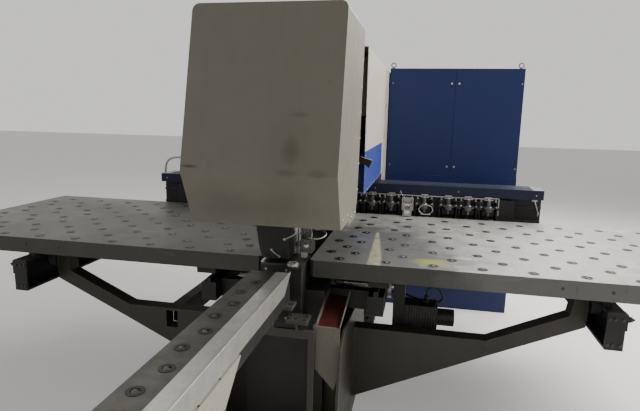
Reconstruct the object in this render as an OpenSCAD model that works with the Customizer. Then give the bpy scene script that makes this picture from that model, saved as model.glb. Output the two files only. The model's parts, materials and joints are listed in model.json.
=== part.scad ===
// Single-head CNC punching machine: C-frame, coordinate guide with linear tool magazine, ball tables.
// Frame: origin on the floor under the punch axis, +X right, +Y to the back, +Z up. Millimetres.

/* [Work table] */
// Height of the table surface above the floor
table_z = 930; // [915:5:960]
// Half the slot between the two wings
wing_inner_x = 120; // [115:5:130]
// Length of each wing
wing_length = 2130; // [2100:10:2300]
// Depth of each wing, front to back
wing_depth = 1295; // [1280:5:1305]
// How far the wings' front edge stands before the punch axis
wing_front = 140; // [130:5:170]
// Depth of the folded edge of a wing
wing_skirt = 85; // [70:1:85]
// Sheet thickness of a wing
wing_sheet = 6; // [4:1:10]
// Chamfer at the inner front corner of a wing
wing_chamfer = 20; // [5:1:40]

/* [Ball units] */
// Radius of a table ball
ball_r = 19; // [17:0.5:20]
// Height of a ball above the table
ball_rise = 4; // [2:0.5:5]
// Radius of the ring round a ball
ball_ring_r = 25; // [23.5:0.5:27]
// Thickness of that ring
ball_ring_t = 1.2; // [0.8:0.1:2]
// Pitch of the first and second set of ball columns
column_pitch_a = 227; // [200:1:240]
column_pitch_b = 242; // [220:1:250]
// Pitch of the ball rows
row_pitch = 243; // [230:1:250]
// Pitch of the balls on the centre strip
strip_pitch = 127; // [110:1:150]

/* [Frame] */
// Half width of the C-frame
frame_half_w = 200; // [190:5:205]
// Plate thickness of the C-frame
frame_plate = 30; // [20:2:40]
// Top of the lower arm above the floor
lower_arm_top = 780; // [770:1:785]
// Underside of the upper arm above the table
throat_above_table = 286; // [280:1:290]
// Depth of the throat behind the punch axis
throat_depth = 1560; // [1550:5:1590]
// Back of the column behind the punch axis
column_back = 2060; // [2000:10:2070]
// Top of the C-frame above the table
frame_top_above_table = 1050; // [1000:10:1055]
// Half width of the covers and of the base
cover_half_w = 325; // [320:1:325]
// Sheet thickness of the covers
cover_sheet = 3; // [2:0.5:4]
// Back of the machine behind the punch axis
machine_back = 2350; // [2345:5:2400]

/* [Coordinate guide] */
// Forward travel of the coordinate guide
y_travel = 1215; // [1100:5:1215]
// Sideways travel of the cross rail, each way
x_travel = 1235; // [1100:5:1235]
// Left and right end of the guide beam
beam_left = 1430; // [1425:5:1450]
beam_right = 1480; // [1475:5:1500]
// Front and back of the guide beam
beam_front = 1330; // [1328:1:1334]
beam_back = 1484; // [1470:2:1490]
// Height of the guide beam's top above the table
beam_top_above_table = 213; // [205:1:215]
// Wall of the guide beam
beam_wall = 10; // [8:1:12]
// Half the distance between the two Y rails
y_rail_x = 445; // [443:1:447]

/* [Tool magazine] */
// Half length of the cross rail
rail_half = 1290; // [1270:5:1300]
// Half length of the magazine
magazine_half = 1175; // [1175:1:1185]
// Half width of a tool cassette
cassette_half = 66; // [62:1:67]
// Half gap of a cassette's fork
fork_half = 56; // [55:0.5:57]
// Radius of a stored punch's head
stored_head_r = 30; // [26:1:34]
// Radius of the die body
die_r = 38; // [34:1:38]
// Distance of the two sheet clamps from the middle
clamp_x = 545; // [540:1:550]

/* [Punching head] */
// Radius of the ram inside the head
ram_r = 50; // [48:1:52]
// Radius of the ram's lower end
ram_nose_r = 40; // [36:1:42]
// Stroke of the ram
ram_stroke = 40; // [20:1:40]
// Travel of the stripper
stripper_travel = 3; // [1:0.5:3]
// Radius of the punch
punch_r = 11.8; // [8:0.1:12.5]
// Clearance round the punch in the die
die_clearance = 0.2; // [0.1:0.05:0.4]

/* [Drives] */
// Gear module
gear_m = 4; // [4:4]
// Teeth of the Y pinions and of the X pinion
y_teeth = 30; // [30:30]
x_teeth = 18; // [18:18]
// Y position of the pinion shaft
drive_y = 230; // [225:1:235]
// Radius of the pinion shaft
shaft_r = 18; // [15:0.5:20]

/* [Support] */
// Radius of the support rollers
roller_r = 50; // [45:1:52]
// Front face of the outriggers behind the punch axis
outrigger_y = 70; // [60:2:80]
// Thickness of the outriggers
outrigger_t = 85; // [80:1:95]

/* [Cabinet] */
// Left side, width, depth and height of the cabinet
cabinet_x = 333; // [330:1:340]
cabinet_w = 1057; // [1000:1:1100]
cabinet_depth = 500; // [450:5:500]
cabinet_h = 2022; // [2000:2:2060]
// Front of the cabinet's doors behind the punch axis
cabinet_y = 1855; // [1840:1:1870]
// Height of the doors' lower edge
door_z = 1152.5; // [1150:0.5:1160]
// Thickness of the doors
door_t = 19.7; // [15:0.1:22]

/* [Hidden] */
fit = 0.05;
seat = 0.3;
sheet_gap = 1;
wing_outer_x = wing_inner_x + wing_length;
wing_back = wing_depth - wing_front;
skirt_bottom = table_z - wing_skirt;

$fn = 48;

cream = [0.80, 0.78, 0.70];
blue = [0.13, 0.22, 0.62];
navy = [0.07, 0.11, 0.33];
steel = [0.62, 0.63, 0.62];
bright = [0.80, 0.80, 0.80];
dark = [0.10, 0.10, 0.11];
grey = [0.35, 0.36, 0.37];

// Shapes that many sub-parts use
module span(low, high) {
    translate(low) cube(high - low);
}

// Turns an outline in the YZ plane into a body from x0 to x1
module along_x(x0, x1) {
    translate([x0, 0, 0]) rotate([90, 0, 90]) linear_extrude(x1 - x0) children();
}

// Turns an outline in the XZ plane into a body from y0 to y1
module along_y(y0, y1) {
    translate([0, y1, 0]) rotate([90, 0, 0]) linear_extrude(y1 - y0) children();
}

module rod_x(x0, x1, y, z, r) {
    translate([x0, y, z]) rotate([0, 90, 0]) cylinder(r = r, h = x1 - x0);
}

module rod_y(x, y0, y1, z, r) {
    translate([x, y1, z]) rotate([90, 0, 0]) cylinder(r = r, h = y1 - y0);
}

module both_sides() {
    children();
    mirror([1, 0, 0]) children();
}

// Gear teeth: involute flanks at 20 degrees, thinned by the backlash
pressure = 20;
backlash = 0.3;
flank_steps = 4;
function pitch_radius(teeth) = gear_m * teeth / 2;
function base_radius(teeth) = pitch_radius(teeth) * cos(pressure);
function roll_angle(r, rb) = r <= rb ? 0 : tan(acos(rb / r)) * 180 / PI - acos(rb / r);
function half_tooth(r, teeth) =
    90 / teeth - backlash / 2 / pitch_radius(teeth) * 180 / PI
    + roll_angle(pitch_radius(teeth), base_radius(teeth)) - roll_angle(r, base_radius(teeth));
function flank_radius(i, teeth) =
    let (low = pitch_radius(teeth) - 1.25 * gear_m, high = pitch_radius(teeth) + 0.95 * gear_m)
    low + (high - low) * i / flank_steps;

module gear_outline(teeth) {
    polygon([for (k = [0:teeth - 1]) for (s = [-1, 1]) for (i = [0:flank_steps])
        let (r = flank_radius(s < 0 ? i : flank_steps - i, teeth),
            a = k * 360 / teeth + s * half_tooth(r, teeth))
        [r * cos(a), r * sin(a)]]);
}

// Rack teeth pointing up, from x0 to x1, pitch line at zero, with a tooth space at x = 0
rack_pitch = PI * gear_m;
module rack_outline(x0, x1, body) {
    half_low = rack_pitch / 4 + 1.25 * gear_m * tan(pressure) - backlash / 4;
    half_high = rack_pitch / 4 - 0.95 * gear_m * tan(pressure) - backlash / 4;
    first = ceil(x0 / rack_pitch);
    last = floor(x1 / rack_pitch) - 1;
    polygon(concat(
        [[x0, -body], [x0, -1.25 * gear_m]],
        [for (k = [first:last]) for (p = [[-half_low, -1.25], [-half_high, 0.95], [half_high, 0.95],
            [half_low, -1.25]]) [(k + 0.5) * rack_pitch + p[0], p[1] * gear_m]],
        [[x1, -1.25 * gear_m], [x1, -body]]));
}

// C-frame: two side plates joined by webs, open throat towards the punch
lower_arm_front = 150;
frame_top = table_z + frame_top_above_table;
throat_top = table_z + throat_above_table;
upper_arm_front = 130;
base_plate = 30;
throat_fillet = 90;

module c_outline(inset) {
    difference() {
        translate([-lower_arm_front + inset, base_plate + inset])
            square([column_back + lower_arm_front - 2 * inset, frame_top - base_plate - 2 * inset]);
        translate([-lower_arm_front - inset - 1, lower_arm_top - inset])
            square([throat_depth + lower_arm_front - throat_fillet + inset + 1,
                throat_top - lower_arm_top + 2 * inset]);
        translate([throat_depth - throat_fillet - 1, lower_arm_top + throat_fillet - inset])
            square([throat_fillet + inset + 1, throat_top - lower_arm_top - 2 * throat_fillet + 2 * inset]);
        for (z = [lower_arm_top + throat_fillet, throat_top - throat_fillet])
            translate([throat_depth - throat_fillet, z]) circle(r = throat_fillet + inset);
        translate([-lower_arm_front - inset - 1, throat_top - inset - 1])
            square([upper_arm_front + lower_arm_front + 2 * inset + 1, frame_top - throat_top + inset + 2]);
    }
}

access_r = 110;
y_pitch_z = lower_arm_top - 13;
y_gear_z = y_pitch_z - pitch_radius(y_teeth);
slug_r = 30;

module c_frame() {
    color(cream) difference() {
        along_x(-frame_half_w, frame_half_w) c_outline(0);
        along_x(-frame_half_w + frame_plate, frame_half_w - frame_plate) c_outline(frame_plate);
        for (p = [[600, 400], [1200, 400], [1800, 500], [1800, 1100], [900, 1600]])
            rod_x(-frame_half_w - 1, frame_half_w + 1, p[0], p[1], access_r);
        rod_x(-frame_half_w - 1, frame_half_w + 1, drive_y, y_gear_z, shaft_r + fit);
        translate([0, 0, lower_arm_top - frame_plate - 1]) cylinder(r = slug_r + 2, h = frame_plate + 2);
    }
}

// Base: floor plate, low side walls and the front cross member
base_front = 364;
base_wall = 12;
base_wall_back = 562;
base_rib_top = table_z - 410;
strip_beam_bottom = table_z - 164;
strip_beam_left = -70;
strip_beam_right = 60;
strip_beam_top = table_z - 71;
seat_plate = 16;

module base_frame() {
    color(cream) {
        span([-cover_half_w, -base_front, 0], [cover_half_w, machine_back, base_plate]);
        both_sides() along_x(cover_half_w - base_wall, cover_half_w) polygon([[-base_front, base_plate],
            [-base_front - 52, table_z - 557], [-base_front - 6, table_z - 349], [-264, table_z - 289],
            [base_wall_back, table_z - 344], [base_wall_back, base_plate]]);
        both_sides() for (y = [-100, 450])
            span([frame_half_w, y, base_plate], [cover_half_w - base_wall, y + base_wall, base_rib_top]);
        span([-cover_half_w + base_wall, -base_front, table_z - 309], [frame_half_w, -base_front + 20, table_z - 269]);
        span([frame_half_w - 30, -base_front, base_plate], [frame_half_w, -base_front + 20, table_z - 309]);
        difference() {
            span([61, -base_front, table_z - 244], [165, -base_front + 90, table_z - 226]);
            translate([100, -base_front + 30, table_z - 250]) cylinder(r = 9, h = 30);
        }
        span([110, -base_front, table_z - 269], [122, -base_front + 80, table_z - 244]);
        span([strip_beam_left, -base_front, strip_beam_bottom - seat_plate],
            [93, -base_front + 84, strip_beam_bottom]);
        span([-10, -base_front, table_z - 269], [4, -base_front + 84, strip_beam_bottom - seat_plate]);
    }
}

// Covers of the arm and the column
hood_front = 297;
hood_top = frame_top + 15;
hood_bottom = table_z + 266;
rear_hood_front = 1500;
blue_top = table_z + 507;
blue_back = 1407;

module arm_hood() {
    color(cream) {
        difference() {
            span([-cover_half_w, hood_front, hood_bottom], [cover_half_w, rear_hood_front, hood_top]);
            span([-cover_half_w + cover_sheet, hood_front - 1, hood_bottom - 1],
                [cover_half_w - cover_sheet, rear_hood_front + 1, hood_top - cover_sheet]);
            span([-cover_half_w - 1, hood_front - 1, hood_bottom - 1], [cover_half_w + 1, blue_back, blue_top]);
        }
        both_sides() for (y = [hood_front + 203, hood_front + 653, rear_hood_front - 50])
            span([frame_half_w, y, frame_top - 350], [cover_half_w - cover_sheet, y + 5, frame_top - 20]);
    }
}

module blue_panels() {
    color(blue) both_sides() {
        span([cover_half_w - cover_sheet, hood_front, hood_bottom], [cover_half_w, blue_back, blue_top]);
        for (y = [hood_front + 103, blue_back - 107])
            span([frame_half_w, y, throat_top + 30], [cover_half_w - cover_sheet, y + 5, blue_top - 20]);
    }
}

rear_louvres = 8;
louvre_pitch = 45;
module rear_hood() {
    color(cream) difference() {
        span([-cover_half_w, rear_hood_front, base_plate], [cover_half_w, machine_back, hood_top]);
        span([-cover_half_w + cover_sheet, rear_hood_front + cover_sheet, base_plate - 1],
            [cover_half_w - cover_sheet, machine_back - cover_sheet, hood_top - cover_sheet]);
        span([-frame_half_w - seat, rear_hood_front - 1, base_plate - 1],
            [frame_half_w + seat, rear_hood_front + cover_sheet + 1, hood_top - cover_sheet]);
        for (k = [0:rear_louvres - 1])
            span([-160, machine_back - cover_sheet - 1, 1350 + k * louvre_pitch],
                [160, machine_back + 1, 1362 + k * louvre_pitch]);
    }
}

tank_top = 620;
pump_r = 105;
module hydraulic_unit() {
    color(grey) {
        span([-260, column_back, base_plate], [260, machine_back - 30, tank_top]);
        translate([-100, (column_back + machine_back) / 2 - 15, tank_top]) {
            cylinder(r = pump_r, h = 330);
            translate([0, 0, 330]) cylinder(r = pump_r - 15, h = 40);
        }
        translate([130, (column_back + machine_back) / 2 - 15, tank_top]) cylinder(r = 60, h = 420);
    }
}

// Punching head
head_half_w = 150;
head_front = 215;
head_top = frame_top - 100;
ram_top = head_top - 80;
ram_nose_z = throat_top + 44;
adapter_top = table_z + 118;
adapter_r = ram_nose_r + 4;
adapter_h = 60;
rod_x_pos = 46;
rod_y_pos = -64;
rod_r = 5;
rod_top = throat_top + 300;

module at_rods() {
    for (s = [-1, 1]) translate([s * rod_x_pos, rod_y_pos, 0]) children();
}

module head_block() {
    color(dark) difference() {
        union() {
            span([-head_half_w, -head_front, throat_top + 20], [head_half_w, upper_arm_front, head_top]);
            translate([0, 0, throat_top - 20]) cylinder(r = ram_r + 20, h = 60);
        }
        translate([0, 0, throat_top - 30]) cylinder(r = ram_r + fit, h = ram_top + 40 - throat_top);
        at_rods() translate([0, 0, throat_top - 30]) cylinder(r = rod_r + fit, h = rod_top + 40 - throat_top);
        both_sides() for (z = [1380, 1560, 1740])
            rod_x(head_half_w - 15, head_half_w + 1, 60, z, 9);
    }
}

module press_cylinder() {
    color(grey) {
        translate([0, 0, head_top]) cylinder(r = 110, h = 120);
        translate([0, 0, head_top + 120]) cylinder(r = 60, h = 40);
        span([-60, -190, head_top], [60, -90, head_top + 90]);
    }
}

cover_top = frame_top + 92;
cover_kink_z = table_z + 466;
cover_front_z = table_z + 236;
cover_back_z = table_z + 207;
cover_corner_r = 30;

module rounded_front(half_w, top, r) {
    translate([-half_w, 0]) square([2 * half_w, top - r]);
    translate([-half_w + r, 0]) square([2 * (half_w - r), top]);
    for (s = [-1, 1]) translate([s * (half_w - r), top - r]) circle(r = r);
}

module head_cover() {
    wall = cover_sheet + 1;
    color(cream) {
        difference() {
            intersection() {
                along_x(-cover_half_w, cover_half_w) polygon([[-437, cover_top], [-592, cover_kink_z],
                    [-483, cover_front_z], [-268, cover_front_z - 5], [-262, cover_back_z + 2],
                    [-38, cover_back_z], [15, table_z + 290], [119, cover_top]]);
                along_y(-700, 200) rounded_front(cover_half_w, cover_top, cover_corner_r);
            }
            intersection() {
                along_x(-cover_half_w + wall, cover_half_w - wall) polygon([[-437 + wall, cover_top - wall],
                    [-592 + wall, cover_kink_z], [-483 + wall, cover_front_z], [-483 + wall, cover_back_z - 50],
                    [200, cover_back_z - 50], [200, cover_top - wall]]);
                along_y(-700, 201) rounded_front(cover_half_w - wall, cover_top - wall, cover_corner_r - wall);
            }
        }
        both_sides() for (z = [1400, 1750])
            span([head_half_w, -120, z], [cover_half_w - wall, 0, z + 8]);
    }
}

// Black bracket in the gap between the head's cover and the arm's cover
bracket_z = table_z + 445;
module cover_bracket() {
    color(dark) {
        span([frame_half_w, 190, bracket_z + 5], [frame_half_w + 130, 214, bracket_z + 25]);
        along_y(190, 214) polygon([[frame_half_w + 108, bracket_z + 25], [frame_half_w + 116, bracket_z + 43],
            [frame_half_w + 176, bracket_z + 25], [frame_half_w + 160, bracket_z - 16]]);
    }
}

guard_front = -200;
guard_back = -76;
guard_right = 30;
module guard_housing() {
    color(dark) along_y(guard_front, guard_back) polygon([[-144, throat_top + 20], [-131, table_z + 157],
        [-119, table_z + 73], [-103, table_z + 14], [guard_right, table_z + 14], [guard_right, throat_top + 20]]);
}

// Round eye beside the punch, on a hanger with a bright foot
eye_x = 146;
eye_y = -118;
eye_r = 50;
eye_tube_r = 4;
eye_tilt = 14;
module guard_loop() {
    color(bright) {
        translate([eye_x, eye_y, table_z + 127]) rotate([eye_tilt, 0, 0])
            rotate_extrude() translate([eye_r, 0]) circle(r = eye_tube_r, $fn = 16);
        span([80, -150, table_z + 12], [106, -112, table_z + 39]);
    }
    color(grey) {
        span([84, -110, table_z + 100], [116, -84, throat_top + 20]);
        span([78, -150, table_z + 38], [134, -78, table_z + 104]);
    }
}

module ram() {
    color(steel) {
        translate([0, 0, ram_nose_z]) cylinder(r = ram_r, h = ram_top - ram_nose_z);
        translate([0, 0, adapter_top]) cylinder(r = ram_nose_r, h = ram_nose_z - adapter_top);
    }
}

punch_ring_z = table_z + 54;
module punch_holder() {
    color(bright) rotate_extrude() polygon([[0, table_z + 16], [punch_r, table_z + 16], [punch_r, punch_ring_z],
        [30, punch_ring_z], [30, punch_ring_z + 4], [adapter_r - 4, punch_ring_z + 4],
        [adapter_r, punch_ring_z + 8], [adapter_r, adapter_top - 22], [adapter_r - 4, adapter_top - 20],
        [adapter_r - 4, adapter_top - 12], [adapter_r, adapter_top - 10], [adapter_r, adapter_top - seat],
        [0, adapter_top - seat]]);
}

stripper_z = table_z + 4;
stripper_t = 8;
module stripper() {
    color(bright) {
        difference() {
            union() {
                translate([0, 0, stripper_z]) cylinder(r = 50, h = stripper_t);
                span([-rod_x_pos - 8, rod_y_pos - 8, stripper_z], [rod_x_pos + 8, -20, stripper_z + stripper_t]);
            }
            translate([0, 0, stripper_z - 1]) cylinder(r = punch_r + 2, h = stripper_t + 2);
        }
        at_rods() translate([0, 0, stripper_z + stripper_t]) cylinder(r = rod_r, h = rod_top - stripper_z);
    }
}

// Lower tool
rotor_r = 44;
rotor_bottom = table_z - 108;
module die_block() {
    color(dark) difference() {
        union() {
            span([-105, -lower_arm_front, lower_arm_top], [105, 100, table_z - 58]);
            span([-96, -236, table_z - 300], [105, -lower_arm_front, table_z - 8]);
            span([-96, -lower_arm_front, table_z - 58], [105, -62, table_z - 8]);
            translate([0, 0, table_z - 58]) cylinder(r = rotor_r + 5, h = 56);
        }
        translate([0, 0, rotor_bottom - seat]) cylinder(r = rotor_r, h = 200);
        translate([0, 0, lower_arm_top - 1]) cylinder(r = slug_r, h = 200);
    }
}

module die_rotor() {
    color(bright) {
        difference() {
            translate([0, 0, rotor_bottom]) cylinder(r = rotor_r - fit, h = table_z - 4 - rotor_bottom);
            translate([0, 0, table_z - 40]) cylinder(r = die_r, h = 60);
            translate([0, 0, rotor_bottom - 1]) cylinder(r = 20, h = 200);
        }
        difference() {
            translate([0, 0, table_z - 40]) cylinder(r = die_r - fit, h = 40);
            translate([0, 0, table_z - 12]) cylinder(r = punch_r + die_clearance, h = 20);
            translate([0, 0, table_z - 41]) cylinder(r = punch_r + 4, h = 30);
        }
    }
}

die_plate_back = -45;
knob_x = 66;
knob_y = -254;
module die_plate() {
    color(steel) difference() {
        union() {
            span([-96, -236, table_z - 8], [105, die_plate_back, table_z]);
            span([knob_x - 28, knob_y - 28, table_z - 8], [knob_x + 32, -235, table_z]);
        }
        translate([0, 0, table_z - 10]) cylinder(r = rotor_r + 8, h = 12);
        both_sides() for (y = [-190, -100]) translate([75, y, table_z - 9]) cylinder(r = 4.5, h = 10);
    }
    color(bright) difference() {
        translate([knob_x, knob_y, table_z]) cylinder(r = 26, h = 14);
        translate([knob_x, knob_y, table_z + 5]) cylinder(r = 8, h = 10);
    }
}

// Centre strip in front of the head
strip_left = -96;
strip_right = 20;
bar_right = 87.5;
strip_front = 1680;
strip_end = 372;
strip_sheet = 5;
strip_balls_n = 8;
strip_first_y = -526;

function strip_ball_x(k) = k % 2 == 0 ? -24 : -43;

module at_strip_balls() {
    for (k = [0:strip_balls_n]) translate([strip_ball_x(k), strip_first_y - k * strip_pitch, 0]) children();
}

module centre_strip() {
    color(steel) difference() {
        union() {
            span([strip_left, -strip_front, table_z - strip_sheet], [strip_right, -strip_end, table_z]);
            span([strip_left, -strip_front, strip_beam_top], [strip_left + strip_sheet, -strip_end, table_z]);
            for (k = [0:2:8]) span([strip_left, strip_first_y - (k + 0.5) * strip_pitch - 3, strip_beam_top],
                [strip_right, strip_first_y - (k + 0.5) * strip_pitch + 3, table_z]);
        }
        at_strip_balls() translate([0, 0, table_z - 20]) cylinder(r = cup_r + seat, h = 30);
    }
}

module edge_bar() {
    color(bright) {
        along_x(strip_right, bar_right) polygon([[-strip_front, strip_beam_top], [-strip_front, table_z + 2],
            [-strip_end + 1, table_z + 2], [-strip_end - 98, strip_beam_top]]);
        along_x(bar_right - 5, bar_right) polygon([[-strip_front, table_z + 2], [-strip_front, table_z + 8],
            [-strip_end + 1, table_z + 8], [-strip_end + 1, table_z + 2]]);
    }
}

module strip_beam() {
    color(dark) difference() {
        span([strip_beam_left, -strip_front + 30, strip_beam_bottom], [strip_beam_right, -280, strip_beam_top]);
        span([strip_beam_left + 8, -strip_front + 20, strip_beam_bottom + 8],
            [strip_beam_right - 8, -270, strip_beam_top - 8]);
    }
}

pedestal_end = 982;
module front_pedestal() {
    color(cream) difference() {
        along_x(strip_beam_left - 20, strip_beam_right + 20) polygon([[-strip_front + 60, 0],
            [-strip_front + 60, table_z - 95], [-pedestal_end, table_z - 95], [-1127, table_z - 212],
            [-1250, table_z - 312], [-1250, 25], [-1150, 25], [-1150, 0]]);
        span([strip_beam_left, -strip_front, strip_beam_bottom], [strip_beam_right, -pedestal_end + 82, table_z]);
    }
}

// Ball units: a cup with a ring round its mouth, and the ball in it
cup_r = ball_r + 3;
ball_centre = ball_rise - ball_r;
ball_mouth_r = sqrt(ball_r * ball_r - (1 + ball_centre) * (1 + ball_centre)) + 0.4;
module ball_cup() {
    translate([0, 0, table_z]) rotate_extrude() difference() {
        union() {
            translate([0, ball_centre - ball_r - 2.5]) square([cup_r, ball_r - ball_centre + 2.5]);
            square([ball_ring_r, ball_ring_t]);
        }
        translate([0, ball_centre - ball_r - 0.2]) square([ball_r + 0.3, ball_r - ball_centre - 0.8]);
        translate([0, -5]) square([ball_mouth_r, 10]);
    }
}

module ball() {
    translate([0, 0, table_z + ball_centre]) sphere(r = ball_r, $fn = 24);
}

module strip_ball_cups() {
    color(dark) at_strip_balls() ball_cup();
}

module strip_balls() {
    color(grey) at_strip_balls() ball();
}

// Slug chute at the right of the die
chute_left = frame_half_w + 3;
chute_right = cover_half_w - base_wall;
chute_sheet = 3;
chute_lip = table_z - 252;
chute_front = base_front - 28;
module slug_chute() {
    color(cream) {
        along_x(chute_left, chute_right) polygon([[-chute_front, chute_lip - 4], [-chute_front, chute_lip],
            [-40, table_z - 205], [-40, table_z - 209]]);
        along_x(chute_left, chute_left + chute_sheet) polygon([[-chute_front, chute_lip - 4],
            [-chute_front, table_z - 224], [-80, table_z - 160], [-20, table_z - 180], [-20, table_z - 209],
            [-40, table_z - 209]]);
        along_x(chute_right - chute_sheet, chute_right) polygon([[-chute_front, chute_lip - 4],
            [-chute_front, chute_lip + 10], [-80, table_z - 170], [-20, table_z - 180], [-20, table_z - 209],
            [-40, table_z - 209]]);
        along_y(-chute_front - chute_sheet, -chute_front) difference() {
            polygon([[186, table_z - 447], [289, table_z - 560], [chute_right, table_z - 470],
                [chute_right, chute_lip], [chute_left + 2, chute_lip], [chute_left + 2, chute_lip + 24],
                [186, chute_lip]]);
            for (z = [table_z - 310, table_z - 355]) translate([190, z]) square([7, 22]);
        }
    }
}

// Outriggers with the brackets of the support rollers
arm_low = table_z - 416;
arm_knee_x = 1005;
arm_end_x = 1462;
rail_top = table_z - 120;
rail_bottom = table_z - 294;
rail_in_x = 1468;
rail_out_x = 1544;
rail_wall = 12;
roller_x0 = rail_in_x + 12;
roller_x1 = rail_out_x - rail_wall - 8;
roller_z = rail_top - rail_wall - roller_r - seat;
axle_r = 12;

module outrigger_body() {
    along_y(outrigger_y, outrigger_y + outrigger_t) polygon([[cover_half_w, table_z - 819], [560, table_z - 709],
        [1014, table_z - 498], [arm_end_x, table_z - 295], [arm_end_x, rail_top - 5], [1405, rail_top - 5],
        [1385, table_z - 243], [arm_knee_x, arm_low], [cover_half_w, arm_low]]);
    rod_x(arm_end_x, roller_x1 - 4, outrigger_y + outrigger_t / 2, roller_z, axle_r);
    rod_x(arm_end_x, roller_x0 - 1, outrigger_y + outrigger_t / 2, roller_z, axle_r + 8);
}

module outrigger_right() {
    color(cream) outrigger_body();
}

trough_x = 735;
trough_half = 35;
trough_bottom = table_z - 530;
module outrigger_left() {
    color(cream) difference() {
        mirror([1, 0, 0]) outrigger_body();
        span([-trough_x - trough_half, outrigger_y - 1, trough_bottom],
            [-trough_x + trough_half, outrigger_y + outrigger_t + 1, arm_low - 15]);
    }
}

module roller() {
    difference() {
        rod_x(roller_x0, roller_x1, outrigger_y + outrigger_t / 2, roller_z, roller_r);
        rod_x(roller_x0 - 1, roller_x1 + 1, outrigger_y + outrigger_t / 2, roller_z, axle_r + fit);
        for (a = [0:72:288]) translate([0, outrigger_y + outrigger_t / 2, roller_z]) rotate([a, 0, 0])
            rod_x(roller_x0 - 1, roller_x1 + 1, 30, 0, 7);
    }
}

module roller_right() {
    color(grey) roller();
}

module roller_left() {
    color(grey) mirror([1, 0, 0]) roller();
}

trough_back = 1300;
module cable_trough() {
    color(cream) {
        difference() {
            span([-trough_x - trough_half, outrigger_y + outrigger_t, trough_bottom],
                [-trough_x + trough_half, trough_back, arm_low]);
            span([-trough_x - trough_half + 4, outrigger_y, trough_bottom + 4],
                [-trough_x + trough_half - 4, trough_back + 1, arm_low - 4]);
        }
        span([-trough_x + trough_half, 1200, arm_low - 40], [-y_rail_x + 30, 1230, arm_low]);
        span([-y_rail_x, 1200, arm_low], [-y_rail_x + 30, 1230, guide_bottom]);
    }
}

// Fixed Y guides: two beams on brackets at the C-frame, each with a rail
guide_top = lower_arm_top - 40;
guide_bottom = guide_top - 100;
guide_half = 40;
y_rail_half = 10;
y_rail_top = guide_top + 26;
guide_front = -60;
module y_guide_beams() {
    color(dark) both_sides() {
        difference() {
            union() {
                span([y_rail_x - guide_half, guide_front, guide_bottom], [y_rail_x + guide_half, throat_depth, guide_top]);
                for (y = [20, 700, 1430])
                    span([frame_half_w, y, guide_bottom], [y_rail_x - guide_half, y + 60, guide_top]);
            }
            rod_x(y_rail_x - guide_half - 1, y_rail_x + guide_half + 1, drive_y, y_gear_z, shaft_r + 4);
        }
        span([y_rail_x - y_rail_half, guide_front, guide_top], [y_rail_x + y_rail_half, throat_depth, y_rail_top]);
    }
}

pinion_x0 = y_rail_x + guide_half + 4;
pinion_x1 = pinion_x0 + 20;
motor_x = pinion_x1 + 12;
module y_motor() {
    color(dark) {
        difference() {
            span([motor_x, drive_y - 50, table_z - 430], [motor_x + 63, drive_y + 70, guide_top + 20]);
            rod_x(motor_x - 1, motor_x + 50, drive_y, y_gear_z, shaft_r + fit);
        }
        span([motor_x + 63, drive_y - 60, table_z - 430], [760, drive_y + 65, table_z - 302]);
        rod_x(760, 850, drive_y, table_z - 374, 46);
        span([y_rail_x + guide_half, drive_y + 70, guide_bottom + 10], [motor_x + 63, drive_y + 100, guide_top - 5]);
    }
}

module y_drive_shaft() {
    color(steel) {
        rod_x(-pinion_x1, motor_x + 45, drive_y, y_gear_z, shaft_r);
        both_sides() translate([pinion_x0, drive_y, y_gear_z]) difference() {
            rotate([90, 0, 90]) linear_extrude(pinion_x1 - pinion_x0) rotate(90) gear_outline(y_teeth);
            rod_x(-1, pinion_x1 - pinion_x0 + 1, 0, 0, shaft_r);
        }
    }
}

// Control cabinet beside the column
cabinet_back = cabinet_y + cabinet_depth;
cabinet_mid = cabinet_x + cabinet_w / 2;
cabinet_right = cabinet_x + cabinet_w;
cabinet_wall = 3;
plinth_h = 100;
cabinet_inner = cabinet_y + 20;
hinge_inset = 9;
hinge_y = cabinet_y + 6;
hinge_pin_r = 4;
door_top = cabinet_h - 6.5;
lock_x = 29;
lock_r = 8;
lock_z_top = cabinet_h - 118;
lock_z_low = door_z + 78.5;

module cabinet_body() {
    color(navy) {
        difference() {
            span([cabinet_x, cabinet_inner, 0], [cabinet_right, cabinet_back, cabinet_h]);
            span([cabinet_x + cabinet_wall, cabinet_inner - 1, plinth_h],
                [cabinet_right - cabinet_wall, cabinet_back - cabinet_wall, cabinet_h - cabinet_wall]);
            span([cabinet_x + cabinet_wall, cabinet_inner + 1, -1],
                [cabinet_right - cabinet_wall, cabinet_back - cabinet_wall, plinth_h - cabinet_wall]);
        }
        span([cabinet_x, cabinet_y, 0], [cabinet_right, cabinet_inner, door_z - 0.5]);
        span([cabinet_x, cabinet_y, door_top + 0.5], [cabinet_right, cabinet_inner, cabinet_h]);
        for (x = [cabinet_x + hinge_inset, cabinet_right - hinge_inset])
            for (z = [door_z - 0.5, door_top - 15.5])
                translate([x, hinge_y, z]) cylinder(r = hinge_pin_r, h = 16);
        span([cover_half_w, cabinet_inner + 60, 200], [cabinet_x, cabinet_back - 100, 1200]);
        span([cabinet_mid - 9, cabinet_inner, door_z - 60], [cabinet_mid + 9, cabinet_inner + 5, cabinet_h]);
        for (x = [cabinet_x + 23, cabinet_right - 26]) lifting_eye(x);
    }
}

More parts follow.
